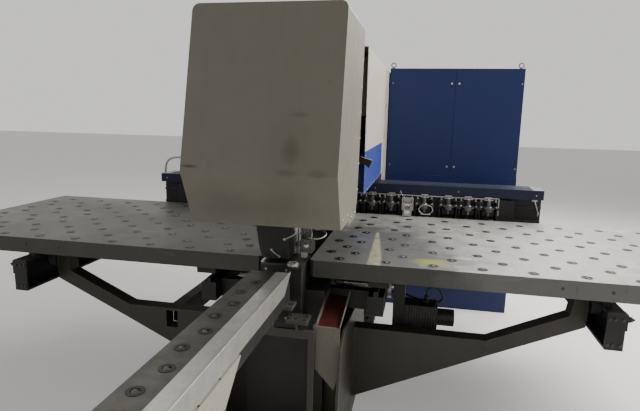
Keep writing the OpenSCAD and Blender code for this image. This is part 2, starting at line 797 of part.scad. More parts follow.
gear_z = door_z - 22.5;
module cabinet_fittings() {
    color(steel) span([cabinet_x + 40, cabinet_back - 43, plinth_h + 40],
        [cabinet_right - 40, cabinet_back - 40, cabinet_h - 62]);
    for (x = [cabinet_x + 40, cabinet_right - 60])
        span([x, cabinet_back - 40, plinth_h + 200], [x + 20, cabinet_back - cabinet_wall, cabinet_h - 122]);
    color(grey) {
        for (k = [0:5]) span([cabinet_x + 90 + k * 120, cabinet_back - 263, gear_z + 200],
            [cabinet_x + 190 + k * 120, cabinet_back - 43, gear_z + 550]);
        for (k = [0:15]) span([cabinet_x + 90 + k * 50, cabinet_back - 123, gear_z],
            [cabinet_x + 135 + k * 50, cabinet_back - 43, gear_z + 90]);
        for (z = [-60, 130, 610]) span([cabinet_x + 80, cabinet_back - 103, gear_z + z],
            [cabinet_right - 80, cabinet_back - 43, gear_z + z + 40]);
        span([cabinet_x + 150, cabinet_back - 300, plinth_h], [cabinet_x + 450, cabinet_back - 60, plinth_h + 320]);
    }
}

module lifting_eye(x) {
    translate([x, cabinet_y + 60, cabinet_h]) cylinder(r = 12, h = 12);
    translate([x, cabinet_y + 60, cabinet_h + 30]) rotate([90, 0, 0])
        rotate_extrude() translate([18, 0]) circle(r = 5, $fn = 16);
}

// Left door; the right one is its mirror image about the cabinet's middle
module door_shell() {
    left = cabinet_x + 3;
    right = cabinet_mid - 1.5;
    back = cabinet_y + door_t;
    difference() {
        translate([0, 0, door_z]) linear_extrude(door_top - door_z) polygon([[left, cabinet_y],
            [right, cabinet_y], [right, back], [left + 6, back], [left, back - 6]]);
        span([left + 26, cabinet_y + 2.5, door_z + 26], [right - 50, back + 1, door_top - 26]);
        for (z = [door_z - 1, door_top - 17])
            translate([cabinet_x + hinge_inset, hinge_y, z]) cylinder(r = hinge_pin_r + fit, h = 18);
        for (z = [lock_z_top, lock_z_low])
            rod_y(cabinet_mid - lock_x, cabinet_y - 1, back + 1, z, lock_r + fit);
    }
}

module other_door() {
    translate([2 * cabinet_mid, 0, 0]) mirror([1, 0, 0]) children();
}

module door_left() {
    color(navy) door_shell();
}

module door_right() {
    color(navy) other_door() door_shell();
}

// Quarter-turn lock: insert with a slot in front, and a cam that hooks behind the middle post
cam_reach = 27;
module lock_at(z) {
    difference() {
        rod_y(cabinet_mid - lock_x, cabinet_y - 2, cabinet_y + door_t + 6, z, lock_r);
        span([cabinet_mid - lock_x - 1.5, cabinet_y - 3, z - 6], [cabinet_mid - lock_x + 1.5, cabinet_y + 1, z + 6]);
    }
    span([cabinet_mid - lock_x - 7, cabinet_y + door_t + 6, z - 8],
        [cabinet_mid - lock_x + 7, cabinet_y + door_t + 9, z + cam_reach]);
}

module lock_left_top() {
    color(bright) lock_at(lock_z_top);
}

module lock_left_low() {
    color(bright) lock_at(lock_z_low);
}

module lock_right_top() {
    color(bright) other_door() lock_at(lock_z_top);
}

module lock_right_low() {
    color(bright) other_door() lock_at(lock_z_low);
}

// Wings: folded sheet with ribs, carried by the coordinate guide
pattern_x = -27;
columns_a = 9;
columns_b = 8;
rows_n = 5;
first_row_a = -77;
first_row_b = 45;
first_column_a = 288;
first_column_b = 350;
extra_column = 224;
inner_rib_x = [y_rail_x - 15, y_rail_x + 17];
outer_rib_x = [1480, 1504];

module at_wing_balls(side) {
    for (j = [0:rows_n - 1]) {
        for (k = [0:columns_a - 1]) translate([pattern_x + side * (first_column_a + k * column_pitch_a),
            first_row_a + j * row_pitch, 0]) children();
        for (k = [0:columns_b - 1]) translate([pattern_x + side * (first_column_b + k * column_pitch_b),
            first_row_b + j * row_pitch, 0]) children();
    }
    for (j = [0:1]) translate([pattern_x + side * extra_column, first_row_b + j * row_pitch, 0]) children();
}

module wing_outline(inset) {
    polygon([[wing_inner_x + inset, -wing_front + wing_chamfer + inset],
        [wing_inner_x + wing_chamfer + inset, -wing_front + inset],
        [wing_outer_x - inset, -wing_front + inset], [wing_outer_x - inset, wing_back - inset],
        [wing_inner_x + inset, wing_back - inset]]);
}

module wing(side) {
    translate([0, 0, table_z - wing_sheet]) linear_extrude(wing_sheet) difference() {
        scale([side, 1]) wing_outline(0);
        at_wing_balls(side) circle(r = cup_r + seat);
    }
    scale([side, 1, 1]) {
        translate([0, 0, skirt_bottom]) linear_extrude(wing_skirt - wing_sheet) difference() {
            wing_outline(0);
            wing_outline(wing_sheet);
        }
        for (x = concat(inner_rib_x, outer_rib_x)) span([x - 4, -wing_front + wing_sheet, skirt_bottom],
            [x + 4, wing_back - wing_sheet, table_z - wing_sheet]);
    }
}

module wing_right() {
    color(steel) wing(1);
}

module wing_left() {
    color(steel) wing(-1);
}

module wing_ball_cups() {
    color(dark) for (side = [-1, 1]) at_wing_balls(side) ball_cup();
}

module wing_balls() {
    color(grey) for (side = [-1, 1]) at_wing_balls(side) ball();
}

// Coordinate guide: beam, carriers under it, outer rails
beam_top = table_z + beam_top_above_table - 5;
lip_front = 1262;
lip_drop = 63;
lip_sheet = 4;
x_rail_z = [table_z - 20, table_z + 80];
x_rail_t = 14;
x_rail_half = 6;
x_pitch_z = table_z + 130;
x_gear_z = x_pitch_z + pitch_radius(x_teeth);
x_shaft_r = 8;
rail_plane = 1300;
rail_front = 1275;

module guide_beam() {
    color(navy) difference() {
        span([-beam_left, beam_front, skirt_bottom], [beam_right, beam_back, beam_top]);
        span([-beam_left + beam_wall, beam_front + beam_wall, skirt_bottom + beam_wall],
            [beam_right - beam_wall, beam_back - beam_wall, beam_top - beam_wall]);
        rod_x(-beam_left - 1, beam_right + 1, (beam_front + beam_back) / 2, table_z + 60, 30);
        rod_y(0, beam_front - 1, beam_front + beam_wall + 1, x_gear_z, x_shaft_r + 4);
    }
    color(grey) for (z = x_rail_z)
        span([-beam_left, beam_front - x_rail_t, z - x_rail_half], [beam_right, beam_front, z + x_rail_half]);
}

cover_ribs_x0 = 400;
end_plate_w = 70;
rib_pitch = 15;
module beam_top_cover() {
    color(navy) {
        span([-beam_left, lip_front, beam_top], [beam_right, beam_back, beam_top + lip_sheet]);
        span([-beam_left, lip_front, beam_top - lip_drop], [beam_right, lip_front + lip_sheet, beam_top]);
    }
    color(grey) {
        span([-beam_left + end_plate_w, lip_front + 40, beam_top + lip_sheet],
            [beam_right - end_plate_w, beam_back - 10, beam_top + lip_sheet + 1]);
        for (y = [lip_front + 45:rib_pitch:beam_back - 20])
            span([-beam_left + end_plate_w, y, beam_top + lip_sheet + 1],
                [beam_right - end_plate_w, y + 8, beam_top + lip_sheet + 3]);
    }
}

carrier_t = skirt_bottom - lower_arm_top - 10;
carrier_x0 = y_rail_x - 40;
carrier_front = -60;
module wing_carriers() {
    color(dark) both_sides() {
        span([carrier_x0, carrier_front, skirt_bottom - carrier_t], [pinion_x1 + 2, beam_back, skirt_bottom]);
        translate([pinion_x0, drive_y, y_pitch_z]) rotate([90, 0, 90]) linear_extrude(pinion_x1 - pinion_x0)
            mirror([0, 1]) rack_outline(-30, beam_back - drive_y, skirt_bottom - carrier_t - y_pitch_z);
    }
}

block_half = 24;
module y_blocks() {
    color(steel) both_sides() for (y = [1130, beam_back - 90]) difference() {
        span([y_rail_x - block_half, y, guide_top + 6], [y_rail_x + block_half, y + 90, skirt_bottom - carrier_t]);
        span([y_rail_x - y_rail_half - seat, y - 1, guide_top], [y_rail_x + y_rail_half + seat, y + 91, y_rail_top + seat]);
    }
}

rail_front_y = -175;
module outer_rails() {
    color(dark) both_sides() {
        difference() {
            span([rail_in_x, rail_front_y, rail_bottom], [rail_out_x, beam_back, rail_top]);
            span([rail_in_x - 1, rail_front_y + rail_wall, rail_bottom + rail_wall],
                [rail_out_x - rail_wall, beam_back + 1, rail_top - rail_wall]);
        }
        for (y = [-100, 480, 1040]) span([1471, y, rail_top], [1509, y + 90, skirt_bottom]);
        rod_x(rail_out_x, rail_out_x + 22, rail_front_y + 25, rail_top - 34, 14);
        span([rail_out_x, rail_front_y, rail_top - 80], [rail_out_x + 8, rail_front_y + 50, rail_top - 5]);
    }
}

module x_motor() {
    color(grey) {
        rod_y(0, beam_front + beam_wall, beam_back - beam_wall - 4, x_gear_z - 8, 34);
        rod_y(0, beam_front + 0.5, beam_front + beam_wall, x_gear_z, x_shaft_r + 3.5);
    }
}

module x_pinion() {
    color(steel) {
        rod_y(0, rail_plane - 12, beam_front - 1, x_gear_z, x_shaft_r);
        translate([0, rail_plane - 3, x_gear_z]) rotate([90, 0, 0]) linear_extrude(18)
            rotate(-90) gear_outline(x_teeth);
    }
}

// Cross rail with the rack on its top edge
rail_low = table_z - 55;
rail_high = x_pitch_z - 12;
module cross_rail() {
    color(dark) {
        span([-rail_half, rail_front, rail_low], [rail_half, rail_plane, rail_high]);
        translate([0, rail_plane - 2, x_pitch_z]) rotate([90, 0, 0]) linear_extrude(20)
            rack_outline(-rail_half, rail_half, x_pitch_z - rail_high);
    }
}

module x_blocks() {
    color(steel) for (x = [-160, 160]) for (z = x_rail_z) difference() {
        span([x - 40, rail_plane, z - 18], [x + 40, beam_front - 3, z + 18]);
        span([x - 41, beam_front - x_rail_t - seat, z - x_rail_half - seat],
            [x + 41, beam_front, z + x_rail_half + seat]);
    }
}

// Tool magazine: forked cassettes along the cross rail
tool_y = y_travel;
station_x = [150, 288, 426, 664, 833, 971, 1109];
upper_fork_z = table_z + 70;
lower_fork_z = table_z - 34;
fork_t = 14;
lip_t = 5;
lip_in = 5;

module at_stations() {
    for (s = [-1, 1]) for (x = station_x) translate([s * x, tool_y, 0]) children();
}

// A fork holds its tool on a lip: a narrow mouth below, a wide one above it
module fork_mouth(half, z, h) {
    translate([0, 0, z]) cylinder(r = half, h = h);
    span([-half, -60, z], [half, 0, z + h]);
}

module cassette() {
    back = rail_front - tool_y;
    difference() {
        union() {
            span([-cassette_half, 10, lower_fork_z - 8], [cassette_half, back, table_z + 112]);
            for (z = [lower_fork_z, upper_fork_z])
                span([-cassette_half, -50, z], [cassette_half, 11, z + fork_t]);
        }
        for (z = [lower_fork_z, upper_fork_z]) fork_mouth(fork_half - lip_in, z - 20, 50);
        fork_mouth(fork_half, lower_fork_z + lip_t, upper_fork_z - lower_fork_z - lip_t);
        fork_mouth(fork_half, upper_fork_z + lip_t, 100);
    }
}

// Rail line of the latch plates above the cassettes
module latch() {
    span([-cassette_half + 8, 52, table_z + 112], [cassette_half - 8, rail_front - tool_y, table_z + 120]);
    span([-22, 44, table_z + 120], [22, rail_front - tool_y, table_z + 134]);
}

module tool_cassettes() {
    color(dark) {
        translate([0, tool_y, 0]) cassette();
        at_stations() cassette();
    }
    color(steel) {
        translate([0, tool_y, 0]) latch();
        at_stations() latch();
    }
}

// Stored tools: each rests on the lip of its fork
tool_gap = 0.5;
module stored_punch() {
    lip_z = upper_fork_z + lip_t;
    rotate_extrude() polygon([[0, table_z + 22], [punch_r, table_z + 22], [punch_r, table_z + 48],
        [stored_head_r - 4, table_z + 48], [stored_head_r, table_z + 52], [stored_head_r, lip_z],
        [fork_half - tool_gap, lip_z], [fork_half - tool_gap, lip_z + 9], [stored_head_r - 6, lip_z + 9],
        [stored_head_r - 10, lip_z + 14], [15, lip_z + 14], [15, table_z + 128], [11, table_z + 132],
        [0, table_z + 132]]);
}

module stored_die() {
    lip_z = lower_fork_z + lip_t;
    rotate_extrude() polygon([[punch_r + die_clearance, lip_z], [fork_half - tool_gap, lip_z],
        [fork_half - tool_gap, lip_z + 9], [die_r, lip_z + 9], [die_r, table_z],
        [punch_r + die_clearance, table_z]]);
}

module stored_punches() {
    color(bright) at_stations() stored_punch();
}

module stored_dies() {
    color(bright) at_stations() stored_die();
}

// Sheet clamps
clamp_half = 32;
jaw_pivot_y = 1232;
jaw_pivot_z = table_z + 48;
jaw_pin_r = 6;
jaw_top = table_z + 12;
clamp_front = 1118;

module clamp_body() {
    difference() {
        union() {
            span([-clamp_half, clamp_front, table_z + 6], [clamp_half, rail_front, jaw_top]);
            span([-clamp_half, 1200, jaw_top], [-clamp_half + 12, rail_front, table_z + 90]);
            span([clamp_half - 12, 1200, jaw_top], [clamp_half, rail_front, table_z + 90]);
            span([-clamp_half, 1262, jaw_top], [clamp_half, rail_front, table_z + 118]);
        }
        rod_x(-clamp_half - 1, clamp_half + 1, jaw_pivot_y, jaw_pivot_z, jaw_pin_r + fit);
    }
}

module clamp_bodies() {
    color(bright) for (s = [-1, 1]) translate([s * clamp_x, 0, 0]) clamp_body();
}

module clamp_jaw() {
    color(bright) {
        along_x(-clamp_half + 12.5, clamp_half - 12.5) difference() {
            polygon([[clamp_front + 2, jaw_top + sheet_gap], [clamp_front + 24, jaw_top + sheet_gap],
                [clamp_front + 40, table_z + 24], [jaw_pivot_y + 6, jaw_pivot_z - 14],
                [jaw_pivot_y + 14, jaw_pivot_z], [jaw_pivot_y + 14, jaw_pivot_z + 30], [jaw_pivot_y - 8, jaw_pivot_z + 30],
                [jaw_pivot_y - 14, jaw_pivot_z + 12], [clamp_front + 30, table_z + 42], [clamp_front + 2, table_z + 24]]);
            translate([jaw_pivot_y, jaw_pivot_z]) circle(r = jaw_pin_r);
        }
        rod_x(-clamp_half + 0.5, clamp_half - 0.5, jaw_pivot_y, jaw_pivot_z, jaw_pin_r);
    }
}

module clamp_jaw_left() {
    translate([-clamp_x, 0, 0]) clamp_jaw();
}

module clamp_jaw_right() {
    translate([clamp_x, 0, 0]) clamp_jaw();
}

base_frame();
c_frame();
arm_hood();
blue_panels();
rear_hood();
hydraulic_unit();
head_block();
press_cylinder();
head_cover();
cover_bracket();
guard_housing();
guard_loop();
die_block();
die_plate();
centre_strip();
edge_bar();
strip_beam();
strip_ball_cups();
strip_balls();
front_pedestal();
slug_chute();
outrigger_right();
outrigger_left();
cable_trough();
y_guide_beams();
y_motor();
cabinet_body();
cabinet_fittings();
ram();
punch_holder();
stripper();
die_rotor();
y_drive_shaft();
roller_right();
roller_left();
door_left();
door_right();
lock_left_top();
lock_left_low();
lock_right_top();
lock_right_low();
wing_right();
wing_left();
wing_ball_cups();
wing_balls();
guide_beam();
beam_top_cover();
wing_carriers();
y_blocks();
outer_rails();
x_motor();
x_pinion();
cross_rail();
x_blocks();
tool_cassettes();
stored_punches();
stored_dies();
clamp_bodies();
clamp_jaw_left();
clamp_jaw_right();
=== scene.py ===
import json
import math

import bmesh
import bpy
from mathutils import Matrix, Vector

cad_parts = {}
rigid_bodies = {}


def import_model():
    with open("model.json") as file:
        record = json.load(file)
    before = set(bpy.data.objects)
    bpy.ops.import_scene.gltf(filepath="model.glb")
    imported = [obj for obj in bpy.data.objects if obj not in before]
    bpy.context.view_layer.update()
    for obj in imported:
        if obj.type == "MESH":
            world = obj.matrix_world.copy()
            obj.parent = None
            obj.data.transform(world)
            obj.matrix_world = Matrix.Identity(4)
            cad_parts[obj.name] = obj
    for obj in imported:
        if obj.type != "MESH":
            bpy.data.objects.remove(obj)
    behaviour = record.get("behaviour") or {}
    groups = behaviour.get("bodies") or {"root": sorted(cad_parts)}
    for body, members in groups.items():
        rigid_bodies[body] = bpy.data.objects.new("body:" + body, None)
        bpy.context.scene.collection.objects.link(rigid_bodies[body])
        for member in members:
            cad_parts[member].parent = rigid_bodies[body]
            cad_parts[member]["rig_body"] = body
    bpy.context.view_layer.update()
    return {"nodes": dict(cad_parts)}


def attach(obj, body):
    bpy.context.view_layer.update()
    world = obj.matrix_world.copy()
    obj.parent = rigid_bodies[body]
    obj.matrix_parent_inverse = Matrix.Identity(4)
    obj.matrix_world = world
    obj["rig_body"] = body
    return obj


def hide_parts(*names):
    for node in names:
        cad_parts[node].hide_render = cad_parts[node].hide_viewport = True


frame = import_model()
node = frame["nodes"]
T = 0.930  # height of the tables' top
HOOD_X = 0.3251  # 0.1 mm outside the side faces of the head's cover, the arm's hood and the rear hood
HOOD_BACK = 2.3502  # 0.2 mm behind the rear hood
KNOB = (0.066, -0.254)  # centre of the die plate's knob
FLOOR_PLATE = 0.0298  # 0.2 mm below the top of the base's floor plate, so that its bolts sit without a gap
WING_BOLTS = T - 0.042  # height of the bolts in the wings' skirts
STATIONS = (0.150, 0.288, 0.426, 0.664, 0.833, 0.971, 1.109)  # tool cassettes on each side of the middle
CLAMP_X = 0.545  # sheet clamps on each side of the middle
CABINET_SIDE = 1.3898  # 0.2 mm inside the cabinet's right face, so that what sits on it has no gap
CABINET_TOP = 2.022
BEAM_COVER = 1.142  # top face of the cover on the guide's beam
STUDIO_WHITE = (1.0, 0.985, 0.955, 1)

# ---------------------------------------------------------------- camera, fitted to the photograph
YAW, PITCH, ROLL = (math.radians(a) for a in (11.404, 10.0986, -1.2435))
look = Vector((-math.sin(YAW) * math.cos(PITCH), math.cos(YAW) * math.cos(PITCH), -math.sin(PITCH)))
right = Vector((math.cos(YAW), math.sin(YAW), 0))
down = look.cross(right)
cam_right = math.cos(ROLL) * right + math.sin(ROLL) * down
cam_down = -math.sin(ROLL) * right + math.cos(ROLL) * down
cam = bpy.data.objects.new("camera", bpy.data.cameras.new("camera"))
bpy.context.scene.collection.objects.link(cam)
cam.matrix_world = Matrix.Translation((0.6405, -2.485, 1.63)) @ Matrix((
    (cam_right.x, -cam_down.x, -look.x, 0),
    (cam_right.y, -cam_down.y, -look.y, 0),
    (cam_right.z, -cam_down.z, -look.z, 0),
    (0, 0, 0, 1)))
cam.data.sensor_width = 36
cam.data.lens = 28.54
cam.data.clip_end = 100
bpy.context.scene.camera = cam


# ---------------------------------------------------------------- materials
def seen_ray(tree):
    """1 for rays of the camera, of gloss and of glass, 0 for the light that falls on the object."""
    path = tree.nodes.new("ShaderNodeLightPath")
    total = path.outputs["Is Camera Ray"]
    for kind in ("Is Glossy Ray", "Is Transmission Ray"):
        n = tree.nodes.new("ShaderNodeMath")
        n.operation = "ADD"
        n.use_clamp = True
        tree.links.new(total, n.inputs[0])
        tree.links.new(path.outputs[kind], n.inputs[1])
        total = n.outputs[0]
    return total


class Nodes:
    """A small helper that builds a node tree in few words."""

    def __init__(self, name):
        self.mat = bpy.data.materials.new(name)
        self.mat.use_nodes = True
        self.tree = self.mat.node_tree
        self.shader = self.tree.nodes["Principled BSDF"]
        self.where = self.tree.nodes.new("ShaderNodeTexCoord").outputs["Object"]

    def add(self, kind, **values):
        """A new node with its settings."""
        n = self.tree.nodes.new(kind)
        for k, v in values.items():
            setattr(n, k, v)
        return n

    def put(self, target, value):
        """Links a socket to an input, or writes a value there."""
        if isinstance(value, bpy.types.NodeSocket):
            self.tree.links.new(value, target)
        else:
            target.default_value = value

    def scaled(self, scale):
        """Object coordinates, scaled along each axis."""
        m = self.add("ShaderNodeMapping")
        self.put(m.inputs["Vector"], self.where)
        m.inputs["Scale"].default_value = scale
        return m.outputs["Vector"]

    def noise(self, scale, detail=3.0, rough=0.55, stretch=None, bend=0.0, low=0.0, high=1.0):
        """Noise that runs from 0 at low to 1 at high."""
        n = self.add("ShaderNodeTexNoise")
        self.put(n.inputs["Vector"], self.scaled(stretch) if stretch else self.where)
        n.inputs["Scale"].default_value = scale
        n.inputs["Detail"].default_value = detail
        n.inputs["Roughness"].default_value = rough
        n.inputs["Distortion"].default_value = bend
        return self.between(n.outputs["Fac"], low, high)

    def between(self, value, low, high, to_low=0.0, to_high=1.0):
        """A value mapped from low..high to to_low..to_high, and held there."""
        n = self.add("ShaderNodeMapRange")
        self.put(n.inputs["Value"], value)
        for k, v in (("From Min", low), ("From Max", high), ("To Min", to_low), ("To Max", to_high)):
            n.inputs[k].default_value = v
        return n.outputs["Result"]

    def math(self, how, a, b=0.0):
        """A sum, product or other result of two values."""
        n = self.add("ShaderNodeMath", operation=how)
        self.put(n.inputs[0], a)
        self.put(n.inputs[1], b)
        return n.outputs[0]

    def mix(self, amount, a, b, how="MIX"):
        """Colour a with colour b over it, by an amount."""
        n = self.add("ShaderNodeMix", data_type="RGBA", blend_type=how)
        self.put(n.inputs["Factor"], amount)
        for k, v in ((6, a), (7, b)):
            self.put(n.inputs[k], v if isinstance(v, bpy.types.NodeSocket) else (*v, 1))
        return n.outputs[2]

    def axis(self, index):
        """The place along X, Y or Z in the object's own frame, in metres."""
        n = self.add("ShaderNodeSeparateXYZ")
        self.put(n.inputs[0], self.where)
        return n.outputs[index]

    def facing(self, index):
        """How far the surface faces along one axis of the world."""
        n = self.add("ShaderNodeSeparateXYZ")
        g = self.add("ShaderNodeNewGeometry")
        self.put(n.inputs[0], g.outputs["True Normal"])
        return n.outputs[index]

    def blob(self, centre, radii, soft=0.5, ragged=0.25):
        """A soft spot round a point: 1 inside, 0 outside, with a ragged edge."""
        m = self.add("ShaderNodeMapping", vector_type="TEXTURE")
        self.put(m.inputs["Vector"], self.where)
        m.inputs["Location"].default_value = centre
        m.inputs["Scale"].default_value = radii
        d = self.add("ShaderNodeVectorMath", operation="LENGTH")
        self.put(d.inputs[0], m.outputs["Vector"])
        n = self.noise(9, 4, 0.6)
        far = self.math("ADD", d.outputs["Value"], self.math("MULTIPLY", self.math("SUBTRACT", n, 0.5), 2 * ragged))
        return self.between(far, 1.0, 1.0 - soft)

    def edge(self, radius=0.004, low=0.999, high=0.93):
        """1 along worn edges, 0 on flats."""
        b = self.add("ShaderNodeBevel", samples=4)
        b.inputs["Radius"].default_value = radius
        g = self.add("ShaderNodeNewGeometry")
        d = self.add("ShaderNodeVectorMath", operation="DOT_PRODUCT")
        self.put(d.inputs[0], b.outputs["Normal"])
        self.put(d.inputs[1], g.outputs["Normal"])
        worn = self.between(d.outputs["Value"], low, high)
        return self.math("MULTIPLY", worn, self.noise(30, 4, 0.6, low=0.42, high=0.62))

    def finish(self, color, metallic=0.0, rough=0.5, bump=None, depth=0.001, **sockets):
        """Links the shader's main inputs, sets others by name, and gives the material."""
        s = self.shader.inputs
        self.put(s["Base Color"], color if isinstance(color, bpy.types.NodeSocket) else (*color, 1))
        self.put(s["Metallic"], metallic)
        self.put(s["Roughness"], rough)
        for k, v in sockets.items():
            s[k.replace("_", " ")].default_value = v
        if bump is not None:
            b = self.add("ShaderNodeBump")
            b.inputs["Distance"].default_value = depth
            self.put(b.inputs["Height"], bump)
            self.put(s["Normal"], b.outputs["Normal"])
        return self.mat


def paint(name, color, dark, bare=(0.30, 0.29, 0.27), rough=0.42, dirt=0.5, wear=0.5, floor_dirt=0.35,
        extra=None):
    """Old machine paint: cloudy tone, dirt runs, dirt towards the floor, dark specks, chipped edges, fine orange peel.
    """
    n = Nodes(name)
    cloud = n.noise(2.2, 5, 0.6, low=0.3, high=0.75)
    base = n.mix(n.math("MULTIPLY", cloud, dirt * 0.5), color, dark)
    runs = n.noise(5, 5, 0.65, stretch=(1, 1, 0.12), low=0.52, high=0.78)
    base = n.mix(n.math("MULTIPLY", runs, dirt * 0.55), base, dark)
    low_down = n.between(n.axis(2), 0.75, 0.0)
    base = n.mix(n.math("MULTIPLY", low_down, floor_dirt), base, dark)
    specks = n.noise(60, 2, 0.5, low=0.70, high=0.76)
    base = n.mix(n.math("MULTIPLY", specks, 0.5 * dirt), base, tuple(0.5 * c for c in dark))
    edge = n.math("MULTIPLY", n.edge(), wear)
    base = n.mix(edge, base, bare)
    if extra:
        base = extra(n, base)
    roughness = n.between(n.noise(14, 4, 0.6, low=0.2, high=0.8), 0.0, 1.0, rough - 0.07, rough + 0.16)
    return n.finish(base, rough=roughness, bump=n.noise(420, 2, 0.5), depth=0.00025, Specular_IOR_Level=0.35)


def steel(name, color, dark, rough=0.34, stretch=(1, 12, 1), mottle=0.5, metallic=0.9, scratch=0.5, rust=0.0,
        extra=None):
    """Bare metal: brushed grain, cloudy tone, scratches, oil marks."""
    n = Nodes(name)
    cloud = n.noise(7, 6, 0.65, low=0.35, high=0.7)
    base = n.mix(n.math("MULTIPLY", cloud, mottle), color, dark)
    grain = n.noise(90, 3, 0.6, stretch=stretch)
    base = n.mix(n.between(grain, 0.35, 0.7, 0.0, 0.25), base, tuple(0.6 * c for c in color))
    lines = n.noise(22, 5, 0.7, stretch=tuple(0.35 * s for s in reversed(stretch)), bend=0.6, low=0.62, high=0.66)
    base = n.mix(n.math("MULTIPLY", lines, 0.4 * scratch), base, tuple(min(1, 1.25 * c) for c in color))
    if rust:
        spots = n.math("MULTIPLY", n.noise(24, 5, 0.7, low=0.58, high=0.70), rust)
        base = n.mix(spots, base, (0.20, 0.10, 0.05))
    if extra:
        base = extra(n, base)
    roughness = n.between(n.math("ADD", n.math("MULTIPLY", cloud, 0.6), n.math("MULTIPLY", grain, 0.4)),
        0.0, 1.0, rough - 0.08, rough + 0.2)
    return n.finish(base, metallic=metallic, rough=roughness, bump=grain, depth=0.0002)


def table_steel(name, side):
    """Bare sheet steel of the right (1) or left (-1) table: wear, scratches, the photograph's oil and stains, with
    painted light: a darker left table and darker skirts as painted shade, a painted highlight at the right table's far
    end and a painted dark reflection in the oil.
    """
    n = Nodes(name)
    # The left table's colours are darker than the right's: painted shade on the left table.
    color = (0.30, 0.295, 0.265) if side < 0 else (0.50, 0.49, 0.465)
    dark = (0.15, 0.145, 0.125) if side < 0 else (0.25, 0.245, 0.23)
    big = n.noise(1.6, 6, 0.62, low=0.3, high=0.72)
    fine = n.noise(11, 7, 0.7, low=0.36, high=0.68)
    base = n.mix(n.math("MULTIPLY", big, 0.65), color, dark)
    base = n.mix(n.math("MULTIPLY", fine, 0.40), base, (0.66, 0.66, 0.62))
    long_marks = n.noise(7, 5, 0.7, stretch=(0.25, 3.0, 1), bend=0.8, low=0.60, high=0.68)
    base = n.mix(n.math("MULTIPLY", long_marks, 0.6), base, (0.86, 0.86, 0.82))
    cross_marks = n.noise(9, 5, 0.7, stretch=(4.0, 0.2, 1), bend=0.6, low=0.62, high=0.68)
    base = n.mix(n.math("MULTIPLY", cross_marks, 0.5), base, (0.16, 0.15, 0.13))
    rust = n.math("MULTIPLY", n.noise(4.5, 6, 0.72, low=0.60, high=0.74), 0.35)
    base = n.mix(rust, base, (0.25, 0.17, 0.10))
    rough_mix = n.math("ADD", n.math("MULTIPLY", fine, 0.5), n.math("MULTIPLY", big, 0.5))
    if side > 0:
        # A real oil stain, painted very dark: its darkness is partly a painted reflection of a dark room.
        oil_stain_and_painted_reflection = n.blob((0.40, 0.08, T), (0.56, 0.98, 0.35), 0.45, 0.45)
        base = n.mix(n.math("MULTIPLY", oil_stain_and_painted_reflection, 0.85), base, (0.055, 0.056, 0.052))
        blue = n.blob((0.31, 0.40, T), (0.10, 0.26, 0.1), 0.8, 0.5)
        base = n.mix(n.math("MULTIPLY", blue, 0.45), base, (0.16, 0.165, 0.26))
        along = n.between(n.axis(1), 0.60, -0.07)
        off = n.math("ABSOLUTE", n.math("SUBTRACT", n.axis(0), n.between(along, 0.0, 1.0, 0.389, 0.434)), 0.0)
        streak = n.between(n.math("SUBTRACT", off, n.between(along, 0.0, 1.0, 0.003, 0.030)), 0.008, -0.002)
        streak = n.math("MULTIPLY", streak, n.between(along, 0.0, 0.12))
        streak = n.math("MULTIPLY", streak, n.between(n.facing(2), 0.2, 0.6))
        streak = n.math("MULTIPLY", streak, n.noise(16, 5, 0.65, low=0.15, high=0.62))
        base = n.mix(n.math("MULTIPLY", streak, 0.85), base, (0.50, 0.49, 0.31))
        spot = n.blob((0.70, -0.02, T), (0.12, 0.075, 0.1), 0.7, 0.4)
        base = n.mix(n.math("MULTIPLY", spot, 0.85), base, (0.36, 0.38, 0.04))
        # The far end of the right table is made paler: a painted highlight, a painted reflection of the light from the
        # back right.
        bright = n.blob((1.35, 0.45, T), (0.8, 0.7, 0.3), 0.9, 0.5)
        base = n.mix(n.math("MULTIPLY", bright, 0.35), base, (0.74, 0.75, 0.74))
    else:
        # On the left table a broad darker patch and a multiply over the whole table darken the steel: painted shade.
        dull = n.blob((-0.5, 0.6, T), (0.9, 0.9, 0.4), 0.9, 0.4)
        base = n.mix(n.math("MULTIPLY", dull, 0.35), base, (0.22, 0.22, 0.20))
        base = n.mix(1.0, base, (0.42, 0.408, 0.36), "MULTIPLY")
    # Faces that don't face up, the tables' skirts, are darkened: painted shade.
    painted_shade_skirt = n.between(n.facing(2), 0.6, 0.2)
    base = n.mix(n.math("MULTIPLY", painted_shade_skirt, 0.8), base, (0.085, 0.085, 0.078))
    roughness = n.between(rough_mix, 0.0, 1.0, 0.30, 0.58)
    metallic = n.between(oil_stain_and_painted_reflection, 0.0, 1.0, 0.45, 0.05) if side > 0 else 0.15
    return n.finish(base, metallic=metallic, rough=roughness, bump=fine, depth=0.0004, Specular_IOR_Level=0.22)


def old_paint(name, color, dark, marks, **values):
    """Paint with marks of its own: (centre, radii, colour, strength) each."""
    def add(n, base):
        for centre, radii, tone, strength in marks:
            spot = n.blob(centre, radii, 0.8, 0.45)
            base = n.mix(n.math("MULTIPLY", spot, strength), base, tone)
        return base
    return paint(name, color, dark, extra=add, **values)


def zinc_eyes(n, base):
    """The lifting eyes, above the cabinet's top, are zinc."""
    return n.mix(n.between(n.axis(2), CABINET_TOP + 0.0004, CABINET_TOP + 0.0006), base, (0.34, 0.34, 0.33))


def ribbed_cover(n, base):
    """The beam's cover has a paler ribbed plate on it, and grey top faces beyond the plate's ends."""
    ribs = n.between(n.axis(2), BEAM_COVER + 0.00025, BEAM_COVER + 0.0003)
    base = n.mix(ribs, base, (0.055, 0.064, 0.092))
    top = n.between(n.axis(2), BEAM_COVER - 0.0005, BEAM_COVER - 0.0004)
    left, right = -1.360, 1.410
    ends = n.math("MAXIMUM", n.between(n.axis(0), right - 0.0005, right), n.between(n.axis(0), left + 0.0005, left))
    return n.mix(n.math("MULTIPLY", top, ends), base, (0.30, 0.32, 0.35))


